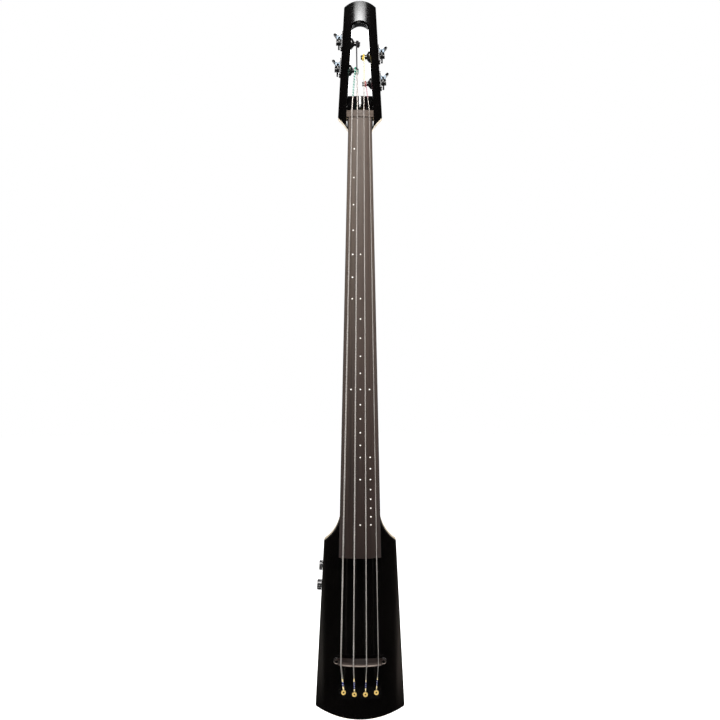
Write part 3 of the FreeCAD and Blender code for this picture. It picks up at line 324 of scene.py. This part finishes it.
# ---- wood -----------------------------------------------------------------------------------

def maple_grain(finish):
    """Pale maple: long fibres, soft growth streaks and a little flame across them."""
    fibres = finish.noise(finish.where((260, 260, 5)), 2.2, 6.0, 0.6)
    streaks = finish.noise(finish.where((34, 34, 1.1)), 1.6, 3.0, 0.5, 0.6)
    flame = finish.bands(finish.where(EVEN, (0.16, 0.08, 0.0)), 26.0, 6.0)
    flecks = finish.noise(finish.where((900, 900, 90)), 1.0, 2.0)
    base = finish.ramp(streaks, (0.25, (0.50, 0.41, 0.29)), (0.55, (0.60, 0.53, 0.40)),
                       (0.8, (0.66, 0.60, 0.48)))
    base = finish.mix(finish.span(fibres, 0.42, 0.68, 0.0, 0.35), base, (0.56, 0.38, 0.22))
    base = finish.mix(finish.span(flame, 0.2, 1.0, 0.0, 0.14), base, (0.74, 0.69, 0.57))
    base = finish.mix(finish.span(flecks, 0.62, 0.72, 0.0, 0.35), base, (0.50, 0.33, 0.18))
    return base, fibres


def lacquered_maple():
    """Black lacquer on the front and in the head's slot, clear satin maple on the sides and back."""
    finish = Finish("lacquered_maple", Specular_IOR_Level=0.5)
    natural, fibres = maple_grain(finish)
    facing = finish.math("MULTIPLY", finish.axis("Y", "Normal"), -1.0)
    front = finish.span(facing, 0.006, 0.02)
    x = finish.math("ABSOLUTE", finish.axis("X"))
    z = finish.axis("Z")
    middle_at_zero = (CHEEK_FOOT_HALF + CHEEK_SLOPE * CHEEK_FOOT_Z - CHEEK_HALF_WALL) * MM
    cheek_middle = finish.math("MULTIPLY_ADD", z, -CHEEK_SLOPE, middle_at_zero)
    inside = finish.math("LESS_THAN", x, cheek_middle)
    high = finish.math("GREATER_THAN", z, SLOT_HEIGHTS[0])
    low_enough = finish.math("LESS_THAN", z, SLOT_HEIGHTS[1])
    slot = finish.math("MULTIPLY", finish.math("MULTIPLY", inside, high), low_enough)
    facing_back = finish.math("GREATER_THAN", finish.axis("Y", "Normal"), 0.6)
    slot = finish.math("MULTIPLY", slot, finish.math("SUBTRACT", 1.0, facing_back))
    black = finish.math("MAXIMUM", front, slot)
    clouds = finish.noise(finish.where(), 9.0, 3.0)
    dust = finish.noise(finish.where(), 1400.0, 2.0)
    rub = finish.noise(finish.where((1, 1, 0.15)), 55.0, 5.0, 0.65)
    lacquer = finish.ramp(clouds, (0.3, (0.0007, 0.0006, 0.0006)), (0.7, (0.0016, 0.0013, 0.0012)))
    lacquer = finish.mix(finish.span(dust, 0.70, 0.80, 0.0, 0.3), lacquer, (0.006, 0.005, 0.005))
    finish.set("Base Color", finish.mix(black, natural, lacquer))
    gloss = finish.span(rub, 0.3, 0.75, 0.10, 0.15)
    satin = finish.span(fibres, 0.2, 0.8, 0.34, 0.48)
    rough = finish.math("ADD", finish.math("MULTIPLY", gloss, black),
                        finish.math("MULTIPLY", satin, finish.math("SUBTRACT", 1.0, black)))
    finish.set("Roughness", rough)
    peel = finish.noise(finish.where(), 420.0, 2.0)
    skin = finish.bump(peel, 0.00003, 0.25)
    grain = finish.math("MULTIPLY", fibres, finish.math("SUBTRACT", 1.0, black))
    finish.set("Normal", finish.bump(grain, 0.00008, 0.5, skin))
    return finish.material


BOARD_SLOPE = 0.02207
BOARD_HALF_AT_ZERO = 0.04503


def rosewood_board():
    """The fingerboard: brown-black along the body, greyer towards the nut where a painted sheen lightens
    it.
    """
    finish = Finish("rosewood_board", Specular_IOR_Level=0.42)
    warp = finish.noise(finish.where((14, 14, 0.8)), 1.3, 3.0, 0.5, 0.8)
    streaks = finish.noise(finish.where((150, 150, 2.4)), 1.5, 5.0, 0.62, 0.3)
    pores = finish.noise(finish.where((1600, 1600, 55)), 1.0, 2.0, 0.6)
    # painted sheen: the board's colour lightens and greys from its foot up to the nut
    height = finish.span(finish.axis("Z"), BOARD_FOOT_Z * MM, NUT_Z * MM)
    body_end = finish.ramp(streaks, (0.28, (0.0055, 0.0026, 0.0020)), (0.5, (0.0110, 0.0056, 0.0044)),
                           (0.75, (0.0190, 0.0098, 0.0072)))
    nut_end = finish.ramp(streaks, (0.28, (0.060, 0.045, 0.035)), (0.5, (0.095, 0.074, 0.060)),
                          (0.75, (0.130, 0.104, 0.084)))
    painted_sheen_share = finish.math("POWER", height, 1.35)
    wood = finish.mix(painted_sheen_share, body_end, nut_end)
    wood = finish.mix(finish.span(warp, 0.35, 0.7, 0.0, 0.45), wood, (0.030, 0.014, 0.010))
    dark = finish.span(pores, 0.60, 0.70, 0.0, 0.75)
    wood = finish.mix(dark, wood, (0.010, 0.006, 0.005))
    # painted shade: the last 1.6 mm towards each edge of the board darkens, where its arch turns away from
    # the light
    edge_half = finish.math("MULTIPLY_ADD", finish.axis("Z"), -BOARD_SLOPE, BOARD_HALF_AT_ZERO)
    past_edge = finish.math("SUBTRACT", finish.math("ABSOLUTE", finish.axis("X")), edge_half)
    wood = finish.mix(finish.span(past_edge, -0.0016, -0.0002, 0.0, 0.92), wood, (0.006, 0.0045, 0.004))
    finish.set("Base Color", wood)
    finish.set("Roughness", finish.span(streaks, 0.2, 0.8, 0.52, 0.40))
    finish.set("Normal", finish.bump(finish.math("ADD", pores, streaks), -0.00006, 0.5))
    return finish.material


# the height of the painted highlight line along the bridge's crest
BRIDGE_CREST_Z = -0.0614


def rosewood_bridge():
    """The bridge: darker, with a painted highlight along its crest."""
    finish = Finish("rosewood_bridge", Specular_IOR_Level=0.2)
    streaks = finish.noise(finish.where((6, 190, 190)), 1.4, 5.0, 0.6, 0.4)
    pores = finish.noise(finish.where((80, 1500, 1500)), 1.0, 2.0, 0.6)
    wood = finish.ramp(streaks, (0.28, (0.005, 0.0026, 0.0022)), (0.55, (0.011, 0.0066, 0.0054)),
                       (0.8, (0.019, 0.012, 0.009)))
    facing = finish.math("MULTIPLY", finish.axis("Y", "Normal"), -1.0)
    # painted highlight: front-facing faces along the crest line turn pale
    crest = finish.span(facing, 0.72, 0.96, 0.0, 0.9)
    off_line = finish.math("ABSOLUTE", finish.math("SUBTRACT", finish.axis("Z"), BRIDGE_CREST_Z))
    crest = finish.math("MULTIPLY", crest, finish.span(off_line, 0.0007, 0.0017, 1.0, 0.12))
    wood = finish.mix(crest, wood, (0.24, 0.20, 0.175))
    wood = finish.mix(finish.span(pores, 0.60, 0.70, 0.0, 0.7), wood, (0.009, 0.006, 0.005))
    finish.set("Base Color", wood)
    finish.set("Roughness", finish.span(streaks, 0.2, 0.8, 0.46, 0.34))
    finish.set("Normal", finish.bump(finish.math("ADD", pores, streaks), -0.00005, 0.5))
    return finish.material


def nut_wood():
    finish = Finish("nut_wood", Specular_IOR_Level=0.45)
    streaks = finish.noise(finish.where((8, 220, 220)), 1.6, 5.0, 0.6, 0.5)
    pores = finish.noise(finish.where((90, 1400, 1400)), 1.0, 2.0, 0.6)
    wood = finish.ramp(streaks, (0.3, (0.046, 0.033, 0.026)), (0.55, (0.085, 0.064, 0.051)),
                       (0.8, (0.130, 0.102, 0.083)))
    facing = finish.math("MULTIPLY", finish.axis("Y", "Normal"), -1.0)
    # painted shade: faces turned away from the front are darkened
    wood = finish.mix(finish.span(facing, 0.2, 0.8, 0.85, 0.0), wood, (0.020, 0.013, 0.010))
    wood = finish.mix(finish.span(pores, 0.60, 0.70, 0.0, 0.6), wood, (0.016, 0.011, 0.009))
    finish.set("Base Color", wood)
    finish.set("Roughness", finish.span(streaks, 0.2, 0.8, 0.48, 0.36))
    finish.set("Normal", finish.bump(pores, -0.00004, 0.5))
    return finish.material


# ---- metal, plastic and thread ---------------------------------------------------------------

def metal(name, colour, rough, brushed=EVEN, spread=0.08, tint=0.10, grain=300.0, metallic=1.0):
    """A metal with smudges, faint working marks along one direction and a slightly uneven tone."""
    finish = Finish(name, Metallic=metallic)
    smudge = finish.noise(finish.where(), 130.0, 4.0, 0.6)
    marks = finish.noise(finish.where(brushed), grain, 3.0, 0.7)
    darker = dimmed(colour, 1 - tint * 2.5)
    finish.set("Base Color", finish.ramp(smudge, (0.30, darker), (0.62, colour)))
    both = finish.math("ADD", finish.math("MULTIPLY", smudge, 0.6), finish.math("MULTIPLY", marks, 0.4))
    finish.set("Roughness", finish.span(both, 0.3, 0.7, max(rough - spread, 0.03), rough + spread))
    finish.set("Normal", finish.bump(marks, 0.00002, 0.25))
    return finish.material


def satin_chrome():
    """Satin plating: a painted highlight on the front end inside a rim of painted shade, blue-grey on the
    block behind it.
    """
    finish = Finish("chrome", Metallic=1.0)
    smudge = finish.noise(finish.where(), 160.0, 4.0, 0.6)
    tone = finish.ramp(smudge, (0.3, (0.15, 0.19, 0.23)), (0.7, (0.23, 0.27, 0.31)))
    # painted shade on the thin dark rim, painted highlight on the front end
    rim = finish.span(finish.axis("Y"), -0.0647, -0.0650)
    end = finish.span(finish.axis("Y"), -0.0656, -0.0659)
    tone = finish.mix(rim, tone, (0.05, 0.05, 0.055))
    finish.set("Base Color", finish.mix(end, tone, (0.92, 0.93, 0.94)))
    finish.set("Roughness", finish.span(smudge, 0.3, 0.7, 0.42, 0.50))
    finish.set("Normal", finish.bump(smudge, 0.00002, 0.2))
    return finish.material


def string_metal(name, radius):
    """Ribbon-wound steel: close turns seen as fine ridges along the string."""
    finish = Finish(name, Metallic=0.85)
    around = finish.where((0.0008, 1.0, 0.0), uv=True)
    ribbon = finish.bands(around, 1.0 / (radius * MM * 0.8) / (2 * math.pi) * 0.31, 0.0, "Y")
    wear = finish.noise(finish.where((1, 1, 0.06)), 240.0, 4.0, 0.6)
    colour = finish.ramp(wear, (0.3, (0.70, 0.66, 0.62)), (0.7, (0.90, 0.865, 0.83)))
    # painted shade darkens the gaps between the ribbon's turns
    colour = finish.mix(finish.span(ribbon, 0.0, 0.35, 0.35, 0.0), colour, (0.46, 0.42, 0.39))
    # painted shade: the strings darken from 0.35 m up towards the nut
    nut_end_shade = finish.span(finish.axis("Z"), 0.35, 1.0, 0.0, 0.62)
    colour = finish.mix(nut_end_shade, colour, (0.20, 0.17, 0.15))
    finish.set("Base Color", colour)
    finish.set("Roughness", finish.span(wear, 0.3, 0.7, 0.36, 0.48))
    finish.set("Normal", finish.bump(ribbon, 0.00006, 0.6))
    return finish.material


THREAD_TURNS = 1800.0
SILK_SWELL = 1.06


def thread(name, colours, turns_per_mm=0.0, share=0.5):
    """Silk wrapping. With two colours they run as a spiral round the string."""
    finish = Finish(name, Roughness=0.62, Sheen_Weight=0.1, Sheen_Roughness=0.4, Specular_IOR_Level=0.2)
    fibre = finish.noise(finish.where((40, 2600, 1), uv=True), 1.0, 3.0, 0.6)
    u = finish.axis("X", "UV")
    v = finish.axis("Y", "UV")
    wrap = finish.math("FRACT", finish.math("ADD", finish.math("MULTIPLY", v, THREAD_TURNS), u))
    groove = finish.math("PINGPONG", wrap, 0.5)
    first = colours[0]
    colour = finish.mix(finish.span(fibre, 0.3, 0.7), dimmed(first, 0.55), first)
    if len(colours) > 1:
        twist = finish.math("FRACT", finish.math("ADD", finish.math("MULTIPLY", v, turns_per_mm / MM), u))
        second = finish.mix(finish.span(fibre, 0.3, 0.7), dimmed(colours[1], 0.7), colours[1])
        colour = finish.mix(finish.math("LESS_THAN", twist, share), colour, second)
    # painted shade darkens the gaps between the thread's turns
    colour = finish.mix(finish.span(groove, 0.0, 0.16, 0.55, 0.0), colour, dimmed(first, 0.3))
    finish.set("Base Color", colour)
    finish.set("Normal", finish.bump(finish.math("ADD", groove, fibre), 0.00008, 0.7))
    return finish.material


def white_inlay():
    finish = Finish("white_inlay", Roughness=0.35)
    cloud = finish.noise(finish.where(), 700.0, 4.0, 0.6)
    finish.set("Base Color", finish.ramp(cloud, (0.3, (0.72, 0.70, 0.65)), (0.7, (0.95, 0.94, 0.91))))
    finish.set("Normal", finish.bump(cloud, 0.00002, 0.3))
    return finish.material


def plastic(name, colour, rough, grain=1300.0, depth=0.00004):
    """Moulded plastic with a fine spark-eroded skin."""
    finish = Finish(name, Specular_IOR_Level=0.45)
    skin = finish.noise(finish.where(), grain, 3.0, 0.7)
    tone = finish.noise(finish.where(), 40.0, 3.0)
    finish.set("Base Color", finish.ramp(tone, (0.3, dimmed(colour, 0.75)), (0.7, colour)))
    finish.set("Roughness", finish.span(skin, 0.3, 0.7, rough - 0.07, rough + 0.07))
    finish.set("Normal", finish.bump(skin, depth, 0.5))
    return finish.material


def circuit_green():
    finish = Finish("circuit_green", Roughness=0.38, Specular_IOR_Level=0.5)
    spot = finish.where()
    tracks = finish.bands(spot, 150.0, 0.0, "X")
    runs = finish.bands(spot, 90.0, 3.0, "Z")
    line = finish.math("GREATER_THAN", finish.math("MULTIPLY", tracks, runs), 0.55)
    mask = finish.noise(spot, 220.0, 3.0)
    green = finish.ramp(mask, (0.3, (0.006, 0.060, 0.022)), (0.7, (0.012, 0.105, 0.040)))
    finish.set("Base Color", finish.mix(line, green, (0.035, 0.20, 0.075)))
    finish.set("Normal", finish.bump(line, 0.00004, 0.5))
    return finish.material


def carbon_fibre():
    finish = Finish("carbon_fibre", Roughness=0.3, Coat_Weight=0.6, Coat_Roughness=0.08)
    spot = finish.where()
    warp = finish.bands(spot, 110.0, 0.0, "Z")
    weft = finish.bands(spot, 110.0, 0.0, "Y")
    tows = finish.math("MULTIPLY", warp, weft)
    finish.set("Base Color", finish.ramp(tows, (0.2, (0.008, 0.008, 0.009)), (0.8, (0.045, 0.045, 0.048))))
    finish.set("Normal", finish.bump(tows, 0.00008, 0.6))
    return finish.material


# ---- finishes on the frame's own parts ---------------------------------------------------------

black_metal = metal("black_metal", (0.0045, 0.0042, 0.0045), 0.30, metallic=0.0, tint=0.12)
chrome = satin_chrome()
bright_steel = metal("bright_steel", (0.90, 0.90, 0.89), 0.46, grain=700.0)
steel = metal("steel", (0.62, 0.62, 0.61), 0.27, brushed=(1, 1, 0.1), grain=700.0)
brass = metal("brass", (0.96, 0.68, 0.22), 0.40, spread=0.07, tint=0.06, grain=900.0, metallic=0.5)
anchor_black = metal("anchor_black", (0.0020, 0.0018, 0.0018), 0.22, metallic=0.0, tint=0.12)
stud_steel = metal("stud_steel", (0.20, 0.20, 0.21), 0.24, tint=0.10, grain=700.0)
knob_metal = metal("knob_metal", (0.060, 0.060, 0.063), 0.30, metallic=0.8, tint=0.12, grain=900.0)
black_plastic = plastic("black_plastic", (0.016, 0.016, 0.017), 0.45)
sensor_ceramic = plastic("sensor_ceramic", (0.72, 0.66, 0.52), 0.5, 900.0)
wire_sleeve = plastic("wire_sleeve", (0.30, 0.02, 0.02), 0.42, 2200.0, 0.00002)
body_finish = lacquered_maple()
board_finish = rosewood_board()
bridge_finish = rosewood_bridge()
nut_finish = nut_wood()
inlay_finish = white_inlay()

NODE_FINISHES = {
    "body": body_finish, "neck": body_finish, "fingerboard": board_finish, "bridge": bridge_finish,
    "position_dots": inlay_finish, "nut": nut_finish, "carbon_bars": carbon_fibre(),
    "circuit_board": circuit_green(), "cavity_cover": black_plastic, "piezo_sensors": sensor_ceramic,
    "wiring": wire_sleeve, "tuner_saddles": chrome, "ball_ends": brass, "stud_bushings": stud_steel,
    "truss_nut": bright_steel, "volume_knob": knob_metal, "tone_knob": knob_metal,
    "tail_anchor": anchor_black, "bridge_studs": stud_steel,
}
STEEL_NODES = ("truss_rod", "thumbwheel_left", "thumbwheel_right", "jack_socket", "volume_pot",
               "tone_pot", "volume_shaft", "tone_shaft", "pot_nuts")

for node_name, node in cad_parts.items():
    finish = NODE_FINISHES.get(node_name, black_metal)
    if node_name in STEEL_NODES or (node_name.startswith("worm_") and "wheel" not in node_name):
        finish = steel
    for slot in node.material_slots:
        slot.material = finish
    if not node.material_slots:
        node.data.materials.append(finish)


# ---- strings ----------------------------------------------------------------------------------

def nut_depth(spec):
    """Depth of the string's centre at the nut."""
    return arch_depth(BOARD_ARCH, spec["nut_x"]) + NUT_LIFT + spec["r"]


def tail_points(spec):
    """From the ball over the anchor's lip to the bridge."""
    x, z = spec["ball"]
    share = (LIP_Z - z) / (BRIDGE_Z - z)
    lip_x = x + (spec["bridge_x"] - x) * share
    front = arch_depth(BODY_ARCH, x)
    bridge_front = arch_depth(BRIDGE_ARCH, spec["bridge_x"])
    return [at(x, front - 1.0, z + BALL_TOP),
            at(lip_x, front + spec["r"] - LIP_SINK, LIP_Z),
            at(spec["bridge_x"], bridge_front + spec["r"] - BRIDGE_SINK, BRIDGE_Z)]


def nut_points(spec):
    depth = nut_depth(spec)
    return [at(spec["nut_x"], depth, NUT_Z), at(spec["nut_x"], depth, NUT_Z + NUT_LENGTH)]


def post_frame(spec):
    """The winding's middle and the post's axis, out of its cheek."""
    side = math.copysign(1.0, spec["nut_x"])
    axis = Vector((side * math.cos(CHEEK_TILT), 0.0, math.sin(CHEEK_TILT)))
    foot = at(side * head_half(spec["post_z"]), POST_DEPTH, spec["post_z"])
    return foot - axis * WINDING_INSET * MM, axis


def post_contact(spec):
    """Where the string touches its winding, and the angle round the post there."""
    centre, _ = post_frame(spec)
    radius = (POST_R + WINDING_GAP + spec["r"]) * MM
    run = centre.z - (NUT_Z + NUT_LENGTH) * MM
    drop = (nut_depth(spec) - POST_DEPTH) * MM
    slope = math.atan2(drop, run) - math.asin(radius / math.hypot(run, drop))
    return centre + Vector((0.0, -radius * math.cos(slope), radius * math.sin(slope))), slope, radius


WINDING_TURNS = 2.0
WINDING_STEPS = 40


def winding_points(spec):
    """Turns round the post, over its top and back, stepping towards its tip."""
    centre, axis = post_frame(spec)
    _, slope, radius = post_contact(spec)
    out = Vector((0.0, -math.cos(slope), math.sin(slope)))
    over = Vector((0.0, math.sin(slope), math.cos(slope)))
    pitch = spec["r"] * 2.02 * MM
    points = []
    for n in range(1, int(WINDING_TURNS * WINDING_STEPS)):
        turn = n / WINDING_STEPS
        angle = turn * 2 * math.pi
        round_post = (out * math.cos(angle) + over * math.sin(angle)) * radius
        points.append(centre + round_post - axis * turn * pitch)
    return points


def thread_ridge(v, u):
    """Round turns of thread, about 0.55 mm apart."""
    wrap = (v * THREAD_TURNS + u) % 1.0
    return SILK_SWELL + 0.05 * math.sin(math.pi * wrap)


SILKS = {
    # the _pale silks are painted lit copies of the green, black, yellow and red silks, used on the
    # straight run to the post
    "green": thread("silk_green", [(0.02, 0.22, 0.14), (0.05, 0.32, 0.22)], 0.28, 0.35),
    "green_pale": thread("silk_green_pale", [(0.03, 0.22, 0.17), (0.60, 0.74, 0.68)], 0.18, 0.45),
    "black": thread("silk_black", [(0.012, 0.011, 0.014)]),
    "black_pale": thread("silk_black_pale", [(0.020, 0.018, 0.022)]),
    "yellow": thread("silk_yellow", [(0.70, 0.46, 0.02), (0.80, 0.60, 0.10)], 0.22, 0.45),
    "yellow_pale": thread("silk_yellow_pale", [(0.80, 0.74, 0.38), (0.88, 0.85, 0.60)], 0.22, 0.5),
    "red": thread("silk_red", [(0.30, 0.03, 0.008), (0.42, 0.10, 0.03)], 0.25, 0.3),
    "red_pale": thread("silk_red_pale", [(0.32, 0.05, 0.10), (0.70, 0.46, 0.52)], 0.25, 0.4),
    "cream": thread("silk_cream", [(0.95, 0.70, 0.24), (0.97, 0.90, 0.62)], 0.4, 0.5),
    "blue": thread("silk_blue", [(0.004, 0.008, 0.16), (0.80, 0.85, 0.95)], 0.16, 0.15),
}


def length_slice(line, start, end):
    """The part of a line between two distances from its first point."""
    out = []
    travelled = 0.0
    for a, b in zip(line, line[1:]):
        step = (b - a).length
        for distance, point in ((travelled, a), (travelled + step, b)):
            if start <= distance <= end and (not out or (out[-1] - point).length > 1e-7):
                out.append(point)
        travelled += step
    return out


SPEAKING_SPACING = 0.006
TAIL_SPACING = 0.0006
TAIL_EASING = 6
SILK_SPACING = 0.00014
SILK_SIDES = 12


def make_string(name, spec):
    steel_finish = string_metal("string_steel_" + name, spec["r"])
    radius = spec["r"] * MM
    node = "string_" + name
    tail = tail_points(spec)
    nut = nut_points(spec)
    contact, _, _ = post_contact(spec)
    bridge = tail[-1]

    speaking_line = spaced([bridge, nut[0]], SPEAKING_SPACING)
    speaking = drawn_tube(node + "_speaking", speaking_line, radius, steel_finish, None)
    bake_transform(speaking)

    after_line = softened(tail, TAIL_EASING, TAIL_SPACING)
    after = drawn_tube(node + "_after", after_line, radius, steel_finish, None)
    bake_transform(after)

    head_line = softened([nut[0], nut[1], contact], 4, 0.001)
    head_path = head_line + winding_points(spec)
    head = drawn_tube(node + "_head", head_path, radius, steel_finish, "instrument")

    for piece in (speaking, after, head):
        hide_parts(node)

    silk_line = [p for p in head_line if p.z > spec["head_silk_z"] * MM]
    silk_turns = [silk_line[-1]] + winding_points(spec)
    # the straight run takes the painted lit _pale copy of its silk, the turns the plain one
    for part, colour, line in (("line", "_pale", silk_line), ("turns", "", silk_turns)):
        silk = drawn_tube("silk_%s_%s" % (part, name), spaced(line, SILK_SPACING), radius,
                          SILKS[spec["silk"] + colour], "instrument", SILK_SIDES, thread_ridge)

    low, cream_top, blue_top, top = [(height - BALL_TOP) * MM for height in spec["tail_silk"]]
    lengths = (("low", "cream", low, cream_top), ("middle", "blue", cream_top, blue_top),
               ("high", "cream", blue_top, top))
    for part, colour, start, end in lengths:
        line = spaced(length_slice(after_line, start, end), SILK_SPACING)
        wrap = drawn_tube("silk_%s_%s" % (part, name), line, radius,
                          SILKS[colour], None, SILK_SIDES, thread_ridge)
        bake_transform(wrap)


for string_name, string_spec in STRINGS.items():
    make_string(string_name, string_spec)


# ---- floor, light and camera ---------------------------------------------------------------------

FLOOR_R = 9.0
FLOOR_GAP = 0.0005


def floor():
    bm = bmesh.new()
    bmesh.ops.create_circle(bm, cap_ends=True, segments=96, radius=FLOOR_R)
    low = min(cad_box[0].z, 0.0) - FLOOR_GAP
    bmesh.ops.translate(bm, vec=(0, 0, low), verts=bm.verts)
    mesh = bpy.data.meshes.new("floor")
    bm.to_mesh(mesh)
    bm.free()
    finish = Finish("floor_paint", Roughness=0.8, Emission_Strength=1.0, Emission_Color=(1, 1, 1, 1))
    mottle = finish.noise(finish.where(), 3.0, 3.0)
    finish.set("Base Color", finish.ramp(mottle, (0.3, (0.86, 0.86, 0.86)), (0.7, (0.90, 0.90, 0.90))))
    mesh.materials.append(finish.material)
    plane = bpy.data.objects.new("floor", mesh)
    bpy.context.scene.collection.objects.link(plane)
    plane.visible_glossy = False


def softbox(name, place, aim, width, tall, radiance, colour=(1, 1, 1)):
    """An area light given by the brightness of its face."""
    light = bpy.data.lights.new(name, "AREA")
    light.shape = "RECTANGLE"
    light.size = width
    light.size_y = tall
    light.energy = radiance * math.pi * width * tall
    light.color = colour
    lamp = bpy.data.objects.new(name, light)
    bpy.context.scene.collection.objects.link(lamp)
    lamp.location = place
    lamp.rotation_euler = (Vector(aim) - Vector(place)).to_track_quat("-Z", "Y").to_euler()
    lamp.visible_camera = False


ROOM_HEADINGS = (-0.35, 0.45)
ROOM_STRENGTHS = (0.006, 0.05)


def studio():
    """White behind the object, a dim room in front of it for the lacquer to mirror."""
    world = bpy.data.worlds.new("studio")
    bpy.context.scene.world = world
    world.use_nodes = True
    tree = world.node_tree
    tree.nodes.clear()

    def node(kind, **values):
        made = tree.nodes.new(kind)
        for key, value in values.items():
            setattr(made, key, value)
        return made

    place = node("ShaderNodeTexCoord")
    split = node("ShaderNodeSeparateXYZ")
    ramp = node("ShaderNodeMapRange", interpolation_type="SMOOTHSTEP")
    room = node("ShaderNodeBackground")
    white = node("ShaderNodeBackground")
    path = node("ShaderNodeLightPath")
    choose = node("ShaderNodeMixShader")
    out = node("ShaderNodeOutputWorld")
    tree.links.new(place.outputs["Generated"], split.inputs[0])
    tree.links.new(split.outputs["Y"], ramp.inputs[0])
    for index, value in enumerate((*ROOM_HEADINGS, *ROOM_STRENGTHS), 1):
        ramp.inputs[index].default_value = value
    tree.links.new(ramp.outputs[0], room.inputs["Strength"])
    white.inputs["Strength"].default_value = 1.0
    white.inputs["Color"].default_value = (1, 1, 1, 1)
    room.inputs["Color"].default_value = (0.90, 0.95, 1.0, 1)
    tree.links.new(path.outputs["Is Camera Ray"], choose.inputs[0])
    tree.links.new(room.outputs[0], choose.inputs[1])
    tree.links.new(white.outputs[0], choose.inputs[2])
    tree.links.new(choose.outputs[0], out.inputs["Surface"])

    softbox("key", (0.0, -2.35, 1.75), (0.0, 0.0, 0.9), 0.66, 0.30, 20.0)
    softbox("key_core", (0.0, -2.34, 1.74), (0.0, 0.0, 0.9), 0.30, 0.26, 14.0)
    softbox("top_front", (0.0, -2.2, 2.9), (0.0, 0.0, 0.2), 1.0, 0.6, 66.0, (1.0, 0.97, 0.93))
    softbox("left", (-1.75, -1.6, 0.55), (0.0, 0.0, 0.5), 0.4, 2.6, 0.55, (1.0, 0.90, 0.82))
    softbox("right", (1.75, -1.6, 0.55), (0.0, 0.0, 0.5), 0.4, 2.6, 0.9, (1.0, 0.84, 0.74))
    softbox("back_left", (-1.6, 1.15, 1.6), (0.0, 0.0, 1.1), 0.8, 1.0, 1.8)
    softbox("back_right", (1.6, 1.15, 1.6), (0.0, 0.0, 1.1), 0.8, 1.0, 1.8)
    softbox("back", (0.0, 2.4, 1.5), (0.0, 0.0, 0.5), 1.2, 1.0, 5.0)
    softbox("under", (0.0, 0.42, -0.12), (0.0, 0.42, 1.0), 0.9, 0.5, 2.6)
    softbox("side_left", (-2.0, -0.5, 0.9), (0.0, 0.0, 0.5), 0.6, 2.1, 3.2)
    softbox("side_right", (2.0, -0.5, 0.9), (0.0, 0.0, 0.5), 0.6, 2.1, 3.2)


def camera():
    lens = bpy.data.cameras.new("camera")
    lens.lens = 58.95
    lens.sensor_width = 36.0
    eye = bpy.data.objects.new("camera", lens)
    bpy.context.scene.collection.objects.link(eye)
    eye.location = (0.0, -2.378, 0.535)
    eye.rotation_euler = (math.radians(90), 0, 0)
    bpy.context.scene.camera = eye


floor()
studio()
camera()
bpy.context.scene.view_settings.view_transform = "Standard"
bpy.context.scene.view_settings.look = "None"
